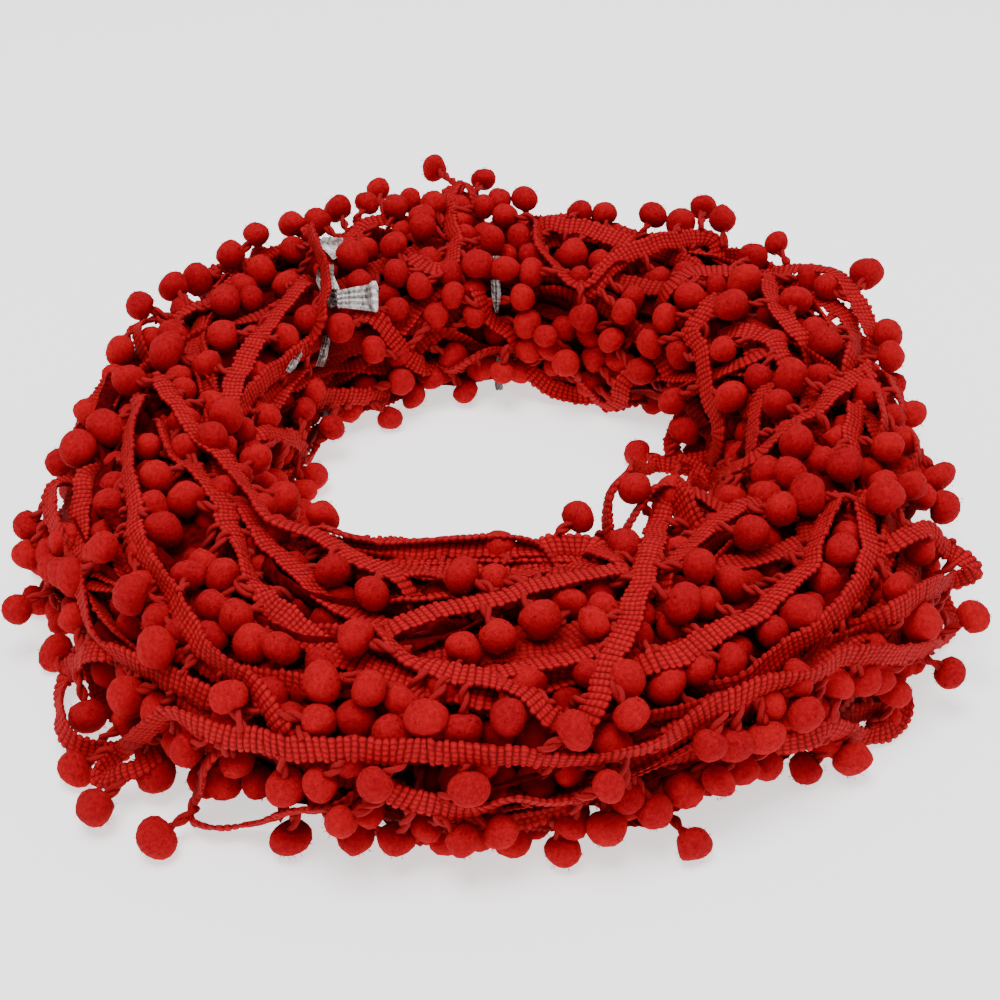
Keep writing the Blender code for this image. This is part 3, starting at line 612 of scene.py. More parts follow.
def settle(rounds):
    # pompoms give way to one another, to the braid, to the ties and to the floor
    global centres
    count = len(centres)
    braid, braidWay = braidPoints[::2], braidAcross[::2]
    for number in range(rounds):
        if number % settling["again"] == 0:
            balls = pairsWithin(centres, centres, settling["ballReach"])
            balls = balls[:, balls[0] != balls[1]]
            laps = pairsWithin(centres, braid, settling["bandReach"])
            bands = pairsWithin(centres, bandPoints, settling["bandReach"])
        one, two = balls
        gap = centres[one] - centres[two]
        far = np.maximum(np.linalg.norm(gap, axis=-1), 1e-5)
        short = np.clip(settling["press"] * (radii[one] + radii[two]) - far, 0, None)
        share = np.where(~isSeen[one] & isSeen[two], settling["hiddenShare"], 0.5)
        share = np.where(isSeen[one] & ~isSeen[two], settling["seenShare"], share)
        push = np.zeros_like(centres)
        np.add.at(push, one, gap / far[:, None] * (short * share)[:, None])
        one, two = laps
        toward = offBraid(centres[one], braid[two], braidWay[two])
        far = np.maximum(np.linalg.norm(toward, axis=-1), 1e-5)
        short = np.clip(radii[one] + settling["skin"] - far, 0, None)
        push += settling["braidPush"] * strongest(count, one, short, toward / far[:, None])
        one, two = bands
        toward = centres[one] - bandPoints[two]
        far = np.maximum(np.linalg.norm(toward, axis=-1), 1e-5)
        away = np.where(isSeen[one][:, None], -sights[one], toward / far[:, None])
        push += strongest(count, one, np.clip(radii[one] + settling["skin"] - far, 0, None), away)
        # those seen in the picture keep their place there, and move mostly along the line of sight
        away = centres - home
        offSight = away - (away * sights).sum(-1)[:, None] * sights
        free = np.clip(1 - np.linalg.norm(offSight, axis=-1) / settling["sideRoom"], 0.05, 1)[:, None]
        alongSight = (push * sights).sum(-1)[:, None] * sights
        aside = (push - alongSight) * settling["sidePush"] * free
        push = np.where(isSeen[:, None], alongSight * settling["sightPush"] + aside, push)
        centres = centres + push * settling["pace"]
        wanted = radii * 0.9 + 0.0050 * facingEye(centres)
        short = np.clip(wanted - depthIn(centres), 0, 0.004) * ~isSeen
        centres = centres - outwardAt(centres) * short[:, None] * 0.5
        centres[:, 2] = np.maximum(centres[:, 2], radii)


settle(45)
gap = np.linalg.norm(centres[:, None, :] - centres[None, :, :], axis=-1) + np.eye(len(centres))
crowd = ((radii[:, None] + radii[None, :]) * 0.72 > gap) & ~np.eye(len(centres), dtype=bool)
keep = ~overOpenFloor(centres, 14) | isSeen
for number in range(seenCount, len(centres)):
    if (crowd[number] & keep).any():
        keep[number] = False
centres, radii, sights, isSeen, home = centres[keep], radii[keep], sights[keep], isSeen[keep], home[keep]


# pompoms between the laps: how deep they lie, and how near one comes to others and to a braid, in shares of their size
filling = {"seed": 17, "facingDepth": (0.0125, 0.0190), "farDepth": (0.0065, 0.0125), "ballShare": 0.90,
           "ownShare": 0.92, "braidShare": 0.62}


def fillGaps(tries, most):
    # pompoms whose braid lies deeper come up wherever the pile still has room for one
    dice = np.random.default_rng(filling["seed"])
    spots = sectionPoint(dice.uniform(0, 2 * math.pi, tries), dice.uniform(0, 2 * math.pi, tries), np.ones(tries))
    size = trim["pompom"] / 2 * dice.uniform(0.93, 1.07, tries)
    deep, farDeep = dice.uniform(*filling["facingDepth"], tries), dice.uniform(*filling["farDepth"], tries)
    deep = np.where(facingEye(spots) > 0.3, deep, farDeep)
    spots = spots - outwardAt(spots) * deep[:, None]
    spots[:, 2] = np.maximum(spots[:, 2], size)
    free = ~overOpenFloor(spots, 14)
    one, two = pairsWithin(spots, centres, 0.013)
    near = np.linalg.norm(spots[one] - centres[two], axis=-1) < filling["ballShare"] * (size[one] + radii[two])
    free[one[near]] = False
    braid, braidWay = braidPoints[::2], braidAcross[::2]
    one, two = pairsWithin(spots, braid, 0.010)
    away = np.linalg.norm(offBraid(spots[one], braid[two], braidWay[two]), axis=-1)
    near = away < size[one] * filling["braidShare"]
    free[one[near]] = False
    chosen = []
    for number in np.nonzero(free)[0]:
        if all(np.linalg.norm(spots[number] - spots[other]) > filling["ownShare"] * (size[number] + size[other])
               for other in chosen):
            chosen.append(number)
        if len(chosen) == most:
            break
    return spots[chosen], size[chosen]


more, moreSize = fillGaps(9000, 420)
centres, radii = np.concatenate([centres, more]), np.concatenate([radii, moreSize])
sights, home = np.concatenate([sights, np.zeros_like(more)]), np.concatenate([home, more])
isSeen = np.concatenate([isSeen, np.zeros(len(more), bool)])
settle(12)
print(len(centres), "pompoms,", seenCount, "of them in the picture and", len(more), "between the laps")

# each pompom's stalk starts from the nearest edge of a braid
edgePoints = np.concatenate([braidPoints + braidAcross * trim["edge"], braidPoints - braidAcross * trim["edge"]])
edgeWays = np.concatenate([braidAcross, -braidAcross])
edgeSeen = np.concatenate([braidSeen, braidSeen])
stalkStart, stalkWay = np.zeros_like(centres), np.zeros_like(centres)
taken = np.zeros(len(edgePoints))
for number, centre in enumerate(centres):
    toward = centre - edgePoints
    far = np.linalg.norm(toward, axis=-1)
    facing = (toward * edgeWays).sum(-1) / np.maximum(far, 1e-5)
    cost = np.abs(far - radii[number] - trim["stalk"]) + 0.006 * (1 - facing) + np.where(edgeSeen, 0, 0.004) + taken
    best = int(np.argmin(cost))
    stalkStart[number], stalkWay[number] = edgePoints[best], edgeWays[best]
    taken += 0.006 * (np.linalg.norm(edgePoints - edgePoints[best], axis=-1) < 0.0055)


def linear(hexColour):
    channels = [int(hexColour[place:place + 2], 16) / 255 for place in (0, 2, 4)]
    return [c / 12.92 if c <= 0.04045 else ((c + 0.055) / 1.055) ** 2.4 for c in channels] + [1.0]


def paintedShadeOf(points):
    # painted shade: 0 in the open and 1 well down between the laps, where shade falls
    deep = np.minimum(depthIn(points) - 0.0075, points[:, 2] - 0.001)
    return np.clip(deep / 0.0130, 0, 1)


def meshPiece(name, points, faces, uv=None, tone=None):
    # faces is a list of whole-number arrays, each with faces of one length
    mesh = bpy.data.meshes.new(name)
    loops = np.concatenate([group.reshape(-1) for group in faces]).astype(np.int32)
    sizes = np.concatenate([np.full(len(group), group.shape[1]) for group in faces])
    starts = np.concatenate([[0], np.cumsum(sizes)[:-1]]).astype(np.int32)
    mesh.vertices.add(len(points))
    mesh.vertices.foreach_set("co", points.astype(np.float32).reshape(-1))
    mesh.loops.add(len(loops))
    mesh.loops.foreach_set("vertex_index", loops)
    mesh.polygons.add(len(sizes))
    mesh.polygons.foreach_set("loop_start", starts)
    mesh.update(calc_edges=True)
    if uv is not None:
        layer = mesh.uv_layers.new(name="UVMap")
        layer.data.foreach_set("uv", uv[loops].astype(np.float32).reshape(-1))
    if tone is not None:
        mesh.attributes.new("tone", "FLOAT", "POINT").data.foreach_set("value", tone.astype(np.float32))
    # the deep attribute carries the painted shade between the laps
    mesh.attributes.new("deep", "FLOAT", "POINT").data.foreach_set("value", paintedShadeOf(points).astype(np.float32))
    mesh.validate()
    mesh.shade_smooth()
    obj = bpy.data.objects.new(name, mesh)
    bpy.context.scene.collection.objects.link(obj)
    return obj


def profileOf(count):
    # the braid's cross-section, from a circle pressed flat with rounded edges
    bpy.ops.object.select_all(action="DESELECT")
    bpy.ops.mesh.primitive_circle_add(vertices=count, radius=1)
    circle = bpy.context.object
    ring = np.array([vertex.co[:2] for vertex in circle.data.vertices])
    bpy.data.objects.remove(circle)
    turn = np.arctan2(ring[:, 1], ring[:, 0])
    across, up = np.cos(turn), np.sin(turn)
    return np.stack([np.sign(across) * np.abs(across) ** 0.85, np.sign(up) * np.abs(up) ** 0.55], -1)


def tubeFaces(base, rows, sides):
    # the faces round a tube that is built ring by ring, and its two ends
    first = base + np.arange(rows - 1)[:, None] * sides + np.arange(sides)[None, :]
    after = base + np.arange(rows - 1)[:, None] * sides + (np.arange(sides)[None, :] + 1) % sides
    quads = np.stack([first, after, after + sides, first + sides], -1).reshape(-1, 4)
    return quads, np.stack([base + np.arange(sides)[::-1], base + (rows - 1) * sides + np.arange(sides)])


def tubeMap(across, along):
    # the tube's map in the same order
    return np.stack(np.broadcast_arrays(across[None, :], along[:, None]), -1).reshape(-1, 2)


def braidMesh(name, runs, perRib, count, seed):
    ring = profileOf(count)
    points, quads, caps, uvs, tones = [], [], [], [], []
    base = 0
    dice = np.random.default_rng(seed)
    for run in runs:
        line, across = run["line"], run["across"]
        span = np.concatenate([[0], np.cumsum(np.linalg.norm(np.diff(line, axis=0), axis=1))])
        ribs = max(3, int(span[-1] / trim["ribPitch"]))
        shown = np.interp(np.arange(ribs) * trim["ribPitch"], span, run["seen"].astype(float)) > 0.2
        fine, coarse = {1: (0.0,), 2: (0.0, 0.5), 3: (0.0, 0.25, 0.75)}[perRib], (0.0, 0.5)[:perRib]
        marks = np.array([(rib, within) for rib in range(ribs)
                          for within in (fine if shown[rib] or perRib < 3 else coarse)])
        rows, ribNumber = len(marks), marks[:, 0].astype(int)
        places = marks.sum(1) * trim["ribPitch"]
        line = np.stack([np.interp(places, span, line[:, k]) for k in range(3)], -1)
        across = np.stack([np.interp(places, span, across[:, k]) for k in range(3)], -1)
        heading = unit(np.gradient(line, axis=0))
        across = unit(across - heading * (across * heading).sum(-1)[:, None])
        face = np.cross(across, heading)
        # each rib of weft is a raised bar that loops out at both edges, with a narrow groove before the next
        groove = (marks[:, 1] == 0).astype(float)
        loop = 0.075 * np.where(ribNumber % 2 == 0, 1.0, -0.3) + 0.045 * dice.normal(size=ribs)[ribNumber]
        wide = trim["braidWidth"] / 2 * (1.0 + loop - groove * (0.13 + loop))
        thick = trim["braidThick"] / 2 * (1.05 - 0.45 * groove) * (1 + 0.10 * dice.normal(size=ribs)[ribNumber])
        slant = 0.00045 * np.sin(places * 120 + dice.uniform(0, 6)) + 0.00016 * dice.normal(size=ribs)[ribNumber]
        cup = 0.0005 * np.sin(places * 70 + dice.uniform(0, 6)) + 0.0003 * np.sin(places * 190 + dice.uniform(0, 6))
        sway = 0.00035 * np.sin(places * 240 + dice.uniform(0, 6)) + 0.0003 * np.sin(places * 410 + dice.uniform(0, 6))
        line = line + across * sway[:, None]
        flat, high = ring[None, :, 0, None], ring[None, :, 1, None]
        made = (line[:, None, :] + across[:, None, :] * (flat * wide[:, None, None])
                + face[:, None, :] * (high * thick[:, None, None] + cup[:, None, None] * (flat ** 2))
                + heading[:, None, :] * (slant[:, None, None] * flat))
        made[..., 2] = np.maximum(made[..., 2], 0.0002)
        points.append(made.reshape(-1, 3))
        sideFaces, endFaces = tubeFaces(base, rows, count)
        quads.append(sideFaces)
        caps.append(endFaces)
        # the map is in centimetres: across the braid from its middle, and along it
        uvs.append(tubeMap(ring[:, 0] * 0.4, places * 100))
        tones.append(np.repeat(smooth(dice.uniform(0, 1, rows), 2), count))
        base += rows * count
    faces = [np.concatenate(quads), np.concatenate(caps)]
    return meshPiece(name, np.concatenate(points), faces, np.concatenate(uvs), np.concatenate(tones))


def ballMaster(cuts):
    # one felt ball: a cube cut up each way and rounded off
    bpy.ops.object.select_all(action="DESELECT")
    bpy.ops.mesh.primitive_cube_add(size=2)
    ball = bpy.context.object
    bpy.ops.object.mode_set(mode="EDIT")
    bpy.ops.mesh.select_all(action="SELECT")
    bpy.ops.mesh.subdivide(number_cuts=cuts)
    bpy.ops.object.mode_set(mode="OBJECT")
    points = np.tan(np.array([vertex.co[:] for vertex in ball.data.vertices]) * math.pi / 4 * 0.98)
    faces = np.array([polygon.vertices[:] for polygon in ball.data.polygons])
    bpy.data.objects.remove(ball)
    return unit(points), faces


# how each felt ball departs from round, in shares of its radius, and its loose fibres in metres
felt = {"size": 1.01, "lump": 0.023, "dimple": 0.20, "dimpleWidth": 0.12, "wide": (0.94, 1.15), "deep": (0.85, 1.03),
        "long": (0.81, 1.02), "fibreLength": (0.0005, 0.0010), "fibreHalf": 0.00013, "fibreRise": 0.0004}
spikeFaces = ((0, 1, 3), (1, 2, 3), (2, 0, 3), (0, 2, 1))


def pompomMesh(name, numbers, seed, cuts, fibres):
    ballPoints, ballFaces = ballMaster(cuts)
    dice = np.random.default_rng(seed)
    points, faces, tones, slim = [], [], [], []
    base = 0
    for number in numbers:
        axis = unit(stalkStart[number] - centres[number])
        side = unit(np.cross(axis, dice.normal(size=3)))
        frameOf = np.stack([side, np.cross(axis, side), axis])
        local = ballPoints.copy()
        lumps = np.zeros(len(local))
        for _ in range(5):
            way = unit(dice.normal(size=3))
            lumps += felt["lump"] * np.sin(local @ way * dice.uniform(2.5, 6.0) + dice.uniform(0, 6))
        dimple = np.exp(-((1 - local[:, 2]) / felt["dimpleWidth"]) ** 2)
        oval = np.array([dice.uniform(*felt[way]) for way in ("wide", "deep", "long")])
        local = local * (1 + lumps - felt["dimple"] * dimple)[:, None] * oval
        made = centres[number] + radii[number] * felt["size"] * local @ frameOf
        made[:, 2] = np.maximum(made[:, 2], 0.0001)
        points.append(made)
        faces.append(ballFaces + base)
        tones.append(np.full(len(made), dice.uniform(0, 1)))
        base += len(made)
        if fibres:
            # loose wool fibres stand off the felt, each a slender closed spike
            root = unit(dice.normal(size=(fibres, 3)))
            lean = unit(root + 0.75 * dice.normal(size=(fibres, 3)))
            length = dice.uniform(*felt["fibreLength"], fibres)[:, None]
            foot = centres[number] + root * radii[number] * 0.96
            one = unit(np.cross(root, lean) + 1e-6)
            two = np.cross(root, one)
            half = felt["fibreHalf"]
            tip = foot + root * felt["fibreRise"] + lean * length
            feet = [foot + one * half, foot - one * half + two * half, foot - one * half - two * half]
            spike = np.stack(feet + [tip], 1)
            spike[..., 2] = np.maximum(spike[..., 2], 0.0001)
            corner = base + np.arange(fibres)[:, None] * 4
            slim.append(np.concatenate([corner + np.array(three) for three in spikeFaces]))
            points.append(spike.reshape(-1, 3))
            tones.append(np.full(fibres * 4, 0.75))
            base += fibres * 4
    groups = [np.concatenate(faces)] + ([np.concatenate(slim)] if slim else [])
    return meshPiece(name, np.concatenate(points), groups, None, np.concatenate(tones))


def stalkMesh(name, numbers, seed):
    # two plies twisted round each other, from the braid's edge into the pompom's dimple
    sides, rows = 5, 8
    dice = np.random.default_rng(seed)
    points, quads, caps, uvs = [], [], [], []
    base = 0
    for number in numbers:
        centre = centres[number]
        start = stalkStart[number] - stalkWay[number] * 0.0010
        back = unit(start - centre)
        end = centre + back * radii[number] * 0.70
        length = np.linalg.norm(end - start)
        share = np.linspace(0, 1, rows)[:, None]
        bend = stalkWay[number] * length * 0.9
        arrive = -back * length * 0.9
        line = ((2 * share ** 3 - 3 * share ** 2 + 1) * start + (share ** 3 - 2 * share ** 2 + share) * bend
                + (-2 * share ** 3 + 3 * share ** 2) * end + (share ** 3 - share ** 2) * arrive)
        heading = unit(np.gradient(line, axis=0))
        one = unit(np.cross(heading, heading[0] + np.array((0.3, 0.7, 0.2))))
        two = np.cross(heading, one)
        span = share[:, 0] * length
        spin = dice.uniform(0, 6)
        for ply in (0, math.pi):
            turn = spin + ply + span * 2 * math.pi / trim["plyTwist"]
            middle = line + (one * np.cos(turn)[:, None] + two * np.sin(turn)[:, None]) * trim["plyRadius"] * 0.80
            ring = np.arange(sides) * 2 * math.pi / sides
            outward = one[:, None, :] * np.cos(ring)[None, :, None] + two[:, None, :] * np.sin(ring)[None, :, None]
            made = middle[:, None, :] + trim["plyRadius"] * outward
            made[..., 2] = np.maximum(made[..., 2], 0.0001)
            points.append(made.reshape(-1, 3))
            sideFaces, endFaces = tubeFaces(base, rows, sides)
            quads.append(sideFaces)
            caps.append(endFaces)
            uvs.append(tubeMap(ring / 6.2832, span * 100))
            base += rows * sides
    faces = [np.concatenate(quads), np.concatenate(caps)]
    return meshPiece(name, np.concatenate(points), faces, np.concatenate(uvs))


def addNode(tree, kind, settings=None, links=None):
    node = tree.nodes.new(kind)
    for name, value in (settings or {}).items():
        if isinstance(name, int) or name in node.inputs:
            node.inputs[name].default_value = value
        else:
            setattr(node, name, value)
    for name, source in (links or {}).items():
        tree.links.new(source, node.inputs[name])
    return node


def newMaterial(name, finish):
    material = bpy.data.materials.new(name)
    material.use_nodes = True
    shader = material.node_tree.nodes["Principled BSDF"]
    for socket, value in finish.items():
        shader.inputs[socket].default_value = value
    return material, material.node_tree, shader


def paintShadeBetweenLaps(tree, colour, shader):
    # painted shade: the trim's colour sinks towards a blackish red down between the laps
    deep = addNode(tree, "ShaderNodeAttribute", {"attribute_name": "deep"})
    mix = addNode(tree, "ShaderNodeMix", {"data_type": "RGBA", 7: linear("5E060A")},
                  {"Factor": deep.outputs["Fac"], 6: colour})
    tree.links.new(mix.outputs[2], shader.inputs["Base Color"])


def twoColours(tree, factor, low, high, lowAt, highAt):
    ramp = addNode(tree, "ShaderNodeValToRGB", links={"Fac": factor})
    for element, colour, place in zip(ramp.color_ramp.elements, (low, high), (lowAt, highAt)):
        element.color = linear(colour)
        element.position = place
    return ramp


def woolFelt():
    # felted acrylic wool: matt, lumpy at about 1 mm, with fine crossed fibres, and a soft halo where it turns away
    material, tree, shader = newMaterial("woolFeltRed", {
        "Roughness": 0.95, "Sheen Weight": 0.09, "Sheen Roughness": 0.4, "Sheen Tint": linear("D83A1C"),
        "Specular IOR Level": 0.09})
    where = addNode(tree, "ShaderNodeTexCoord")
    fibres = addNode(tree, "ShaderNodeTexNoise", {"Scale": 1500.0, "Detail": 4.0, "Roughness": 0.7, "Distortion": 1.5},
                     {"Vector": where.outputs["Object"]})
    clumps = addNode(tree, "ShaderNodeTexNoise", {"Scale": 760.0, "Detail": 2.0, "Roughness": 0.6},
                     {"Vector": where.outputs["Object"]})
    tone = addNode(tree, "ShaderNodeAttribute", {"attribute_name": "tone"})
    mixed = addNode(tree, "ShaderNodeMath", {"operation": "MULTIPLY_ADD", 1: 1.1},
                    {0: fibres.outputs["Fac"], 2: clumps.outputs["Fac"]})
    toned = addNode(tree, "ShaderNodeMath", {"operation": "MULTIPLY_ADD", 1: 0.25},
                    {0: tone.outputs["Fac"], 2: mixed.outputs[0]})
    evened = addNode(tree, "ShaderNodeMath", {"operation": "MULTIPLY", 1: 0.62}, {0: toned.outputs[0]})
    ramp = twoColours(tree, evened.outputs[0], "840614", "BE0F1A", 0.50, 0.96)
    paintShadeBetweenLaps(tree, ramp.outputs["Color"], shader)
    small = addNode(tree, "ShaderNodeBump", {"Strength": 0.75, "Distance": 0.0005}, {"Height": fibres.outputs["Fac"]})
    large = addNode(tree, "ShaderNodeBump", {"Strength": 0.22, "Distance": 0.0006},
                    {"Height": clumps.outputs["Fac"], "Normal": small.outputs["Normal"]})
    tree.links.new(large.outputs["Normal"], shader.inputs["Normal"])
    return material


def wovenBraid():
    # spun acrylic in a narrow plain weave: five warp columns across 8 mm, and a raised weft rib every 2.2 mm
    material, tree, shader = newMaterial("wovenBraidRed", {
        "Roughness": 0.85, "Sheen Weight": 0.06, "Sheen Roughness": 0.4, "Sheen Tint": linear("D8361A"),
        "Specular IOR Level": 0.10})
    where = addNode(tree, "ShaderNodeTexCoord")
    # the weave runs a little unevenly
    uneven = addNode(tree, "ShaderNodeTexNoise", {"Scale": 520.0, "Detail": 1.0}, {"Vector": where.outputs["Object"]})
    shift = addNode(tree, "ShaderNodeVectorMath", {"operation": "SUBTRACT", 1: (0.5, 0.5, 0.5)},
                    {0: uneven.outputs["Color"]})
    drift = addNode(tree, "ShaderNodeVectorMath", {"operation": "SCALE", "Scale": 0.085}, {0: shift.outputs[0]})
    bent = addNode(tree, "ShaderNodeVectorMath", {"operation": "ADD"}, {0: where.outputs["UV"], 1: drift.outputs[0]})
    split = addNode(tree, "ShaderNodeSeparateXYZ", links={"Vector": bent.outputs[0]})
    # the map is in centimetres: half a wave is a column's width across, and a rib's pitch along
    swell = {}
    for axis, wave, often, power in (("X", "COSINE", math.pi * 5 / 0.8, 0.85),
                                     ("Y", "SINE", math.pi * 0.01 / trim["ribPitch"], 0.50)):
        scaled = addNode(tree, "ShaderNodeMath", {"operation": "MULTIPLY", 1: often}, {0: split.outputs[axis]})
        waved = addNode(tree, "ShaderNodeMath", {"operation": wave}, {0: scaled.outputs[0]})
        folded = addNode(tree, "ShaderNodeMath", {"operation": "ABSOLUTE"}, {0: waved.outputs[0]})
        swell[axis] = addNode(tree, "ShaderNodeMath", {"operation": "POWER", 1: power}, {0: folded.outputs[0]})
    columnBar = addNode(tree, "ShaderNodeMath", {"operation": "MULTIPLY_ADD", 1: 0.55, 2: 0.45},
                        {0: swell["X"].outputs[0]})
    height = addNode(tree, "ShaderNodeMath", {"operation": "MULTIPLY"},
                     {0: columnBar.outputs[0], 1: swell["Y"].outputs[0]})
    yarn = addNode(tree, "ShaderNodeTexNoise", {"Scale": 2300.0, "Detail": 3.0, "Roughness": 0.6},
                   {"Vector": where.outputs["Object"]})
    tone = addNode(tree, "ShaderNodeAttribute", {"attribute_name": "tone"})
    # the colour follows the weave's relief: painted shade in the grooves and a painted highlight on the raised bars,
    # with the yarn's fibre mottle
    shade = addNode(tree, "ShaderNodeMath", {"operation": "MULTIPLY_ADD", 1: 0.5},
                    {0: yarn.outputs["Fac"], 2: height.outputs[0]})
    toned = addNode(tree, "ShaderNodeMath", {"operation": "MULTIPLY_ADD", 1: 0.2},
                    {0: tone.outputs["Fac"], 2: shade.outputs[0]})
    evened = addNode(tree, "ShaderNodeMath", {"operation": "MULTIPLY", 1: 0.60}, {0: toned.outputs[0]})
    ramp = twoColours(tree, evened.outputs[0], "5A050E", "B80F19", 0.25, 0.85)
    paintShadeBetweenLaps(tree, ramp.outputs["Color"], shader)
    woven = addNode(tree, "ShaderNodeBump", {"Strength": 0.8, "Distance": 0.0004}, {"Height": height.outputs[0]})
    hairy = addNode(tree, "ShaderNodeBump", {"Strength": 0.45, "Distance": 0.0003},
                    {"Height": yarn.outputs["Fac"], "Normal": woven.outputs["Normal"]})
    tree.links.new(hairy.outputs["Normal"], shader.inputs["Normal"])
    return material


def shadedLaps():
    # painted shade: the same braid in the thick of the pile, where no light catches its hairs, painted flat dark red,
    # faintly ribbed
    material, tree, shader = newMaterial("shadedLapsRed", {"Roughness": 1.0, "Specular IOR Level": 0.03})
    where = addNode(tree, "ShaderNodeTexCoord")
    ribs = addNode(tree, "ShaderNodeTexNoise", {"Scale": 420.0, "Detail": 2.0, "Roughness": 0.6},
                   {"Vector": where.outputs["Object"]})
    ramp = twoColours(tree, ribs.outputs["Fac"], "380105", "62040B", 0.35, 0.65)
    tree.links.new(ramp.outputs["Color"], shader.inputs["Base Color"])
    bump = addNode(tree, "ShaderNodeBump", {"Strength": 0.6, "Distance": 0.0006}, {"Height": ribs.outputs["Fac"]})
    tree.links.new(bump.outputs["Normal"], shader.inputs["Normal"])
    return material


def twistedYarn():
    # two-ply acrylic yarn: slanting fibres along each ply
    material, tree, shader = newMaterial("twistedYarnRed", {
        "Roughness": 0.88, "Sheen Weight": 0.06, "Sheen Tint": linear("D81C1C"), "Specular IOR Level": 0.2})
    where = addNode(tree, "ShaderNodeTexCoord")
    slant = addNode(tree, "ShaderNodeMapping", {"Rotation": (0, 0, 0.6), "Scale": (6.0, 9.0, 1.0)},
                    {"Vector": where.outputs["UV"]})
    lines = addNode(tree, "ShaderNodeTexNoise", {"Scale": 3.0, "Detail": 3.0, "Roughness": 0.7},
                    {"Vector": slant.outputs[0]})
    ramp = twoColours(tree, lines.outputs["Fac"], "72050E", "B60E18", 0.3, 0.75)
    paintShadeBetweenLaps(tree, ramp.outputs["Color"], shader)
    bump = addNode(tree, "ShaderNodeBump", {"Strength": 0.5, "Distance": 0.0003}, {"Height": lines.outputs["Fac"]})
    tree.links.new(bump.outputs["Normal"], shader.inputs["Normal"])
    return material


def clearFilm():
    # polypropylene film: gathered into lengthwise creases, its colour painted light, from a dark see-through grey of
    # painted shade to bright painted glints
    material, tree, shader = newMaterial("clearFilmCreased", {
        "Roughness": 0.14, "IOR": 1.49, "Specular IOR Level": 0.35, "Alpha": 0.90})
    where = addNode(tree, "ShaderNodeTexCoord")
    tone = addNode(tree, "ShaderNodeAttribute", {"attribute_name": "tone"})
    drawn = addNode(tree, "ShaderNodeMapping", {"Scale": (3.6, 1.0, 1.0)}, {"Vector": where.outputs["UV"]})
    creases = addNode(tree, "ShaderNodeTexNoise", {"Scale": 1.3, "Detail": 1.0, "Roughness": 0.5, "Distortion": 0.6},
                      {"Vector": drawn.outputs[0]})
    softened = addNode(tree, "ShaderNodeMath", {"operation": "MULTIPLY_ADD", 1: 0.60, 2: 0.20},
                       {0: creases.outputs["Fac"]})
    # each piece's tone is its painted glint, lifting the creases towards white
    level = addNode(tree, "ShaderNodeMath", {"operation": "MULTIPLY_ADD", 1: 0.40},
                    {0: tone.outputs["Fac"], 2: softened.outputs[0]})
    shade = twoColours(tree, level.outputs[0], "573C36", "F8F8F7", 0.46, 0.98)
    tree.links.new(shade.outputs["Color"], shader.inputs["Base Color"])
    bump = addNode(tree, "ShaderNodeBump", {"Strength": 0.35, "Distance": 0.0008}, {"Height": creases.outputs["Fac"]})
    tree.links.new(bump.outputs["Normal"], shader.inputs["Normal"])
    return material


def dress(obj, material, slot, *nodes):
    obj.data.materials.clear()
    obj.data.materials.append(material)
    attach(obj, "root")
    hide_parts(*nodes)


feltRed, braidRed, paintedShadeRed, yarnRed, film = woolFelt(), wovenBraid(), shadedLaps(), twistedYarn(), clearFilm()

print("weaving the braid")
dress(braidMesh("braid_front", seenRuns, 3, 10, 1), braidRed, "red_trim", "hank")
half = len(woundRun["line"]) // 2
for number, stretch in enumerate((slice(0, half + 1), slice(half, None))):
    run = {key: value[stretch] for key, value in woundRun.items()}
    dress(braidMesh("braid_wound_" + "ab"[number], [run], 2, 8, 2 + number), braidRed, "red_trim", "hank")
dress(braidMesh("braid_core", [coreRun], 1, 6, 9), paintedShadeRed, "red_trim", "hank")


def packedMiddle():
    # the tight middle of the pile, which only shows as dark ribbed red down the gaps: a ring swollen into lap ridges,
    # whose dark red is painted shade
    bpy.ops.object.select_all(action="DESELECT")
    bpy.ops.mesh.primitive_torus_add(major_segments=150, minor_segments=30, major_radius=1, minor_radius=0.4)
    ring = bpy.context.object
    ring.name = ring.data.name = "braid_packed"
    place = np.array([vertex.co[:] for vertex in ring.data.vertices])
    around = np.arctan2(place[:, 1], place[:, 0])
    turn = np.arctan2(place[:, 2], np.hypot(place[:, 0], place[:, 1]) - 1)
    ridge = 0.035 * np.sin(turn * 7 + 1.4 * np.sin(around * 2)) + 0.025 * np.sin(around * 9 + turn * 3)
    made = sectionPoint(around, turn, 0.60 + ridge)
    made[:, 2] = np.maximum(made[:, 2], 0.0040)
    ring.data.vertices.foreach_set("co", made.astype(np.float32).reshape(-1))
    ring.data.attributes.new("tone", "FLOAT", "POINT")
    # painted shade: the deep attribute is full all round the packed middle
    deep = ring.data.attributes.new("deep", "FLOAT", "POINT")
    deep.data.foreach_set("value", np.ones(len(made), np.float32))
    corner = np.zeros(len(ring.data.loops), np.int32)
    ring.data.loops.foreach_get("vertex_index", corner)
    layer = ring.data.uv_layers.active or ring.data.uv_layers.new(name="UVMap")
    flat = np.stack([turn * 2.5, around * hank["ringRadius"] * 100], -1)[corner]
    layer.data.foreach_set("uv", flat.astype(np.float32).reshape(-1))
    ring.data.update()
    ring.data.shade_smooth()
    return ring


dress(packedMiddle(), paintedShadeRed, "red_trim", "hank")

print("felting the pompoms")
order = np.arange(len(centres))
dress(pompomMesh("pompoms_front", order[:seenCount], 21, 3, 40), feltRed, "red_trim", "hank")
dress(pompomMesh("pompoms_wound", order[seenCount:], 22, 2, 6), feltRed, "red_trim", "hank")
print("twisting the stalks")
dress(stalkMesh("stalks_front", order[:seenCount], 31), yarnRed, "red_trim", "hank")
dress(stalkMesh("stalks_wound", order[seenCount:], 32), yarnRed, "red_trim", "hank")


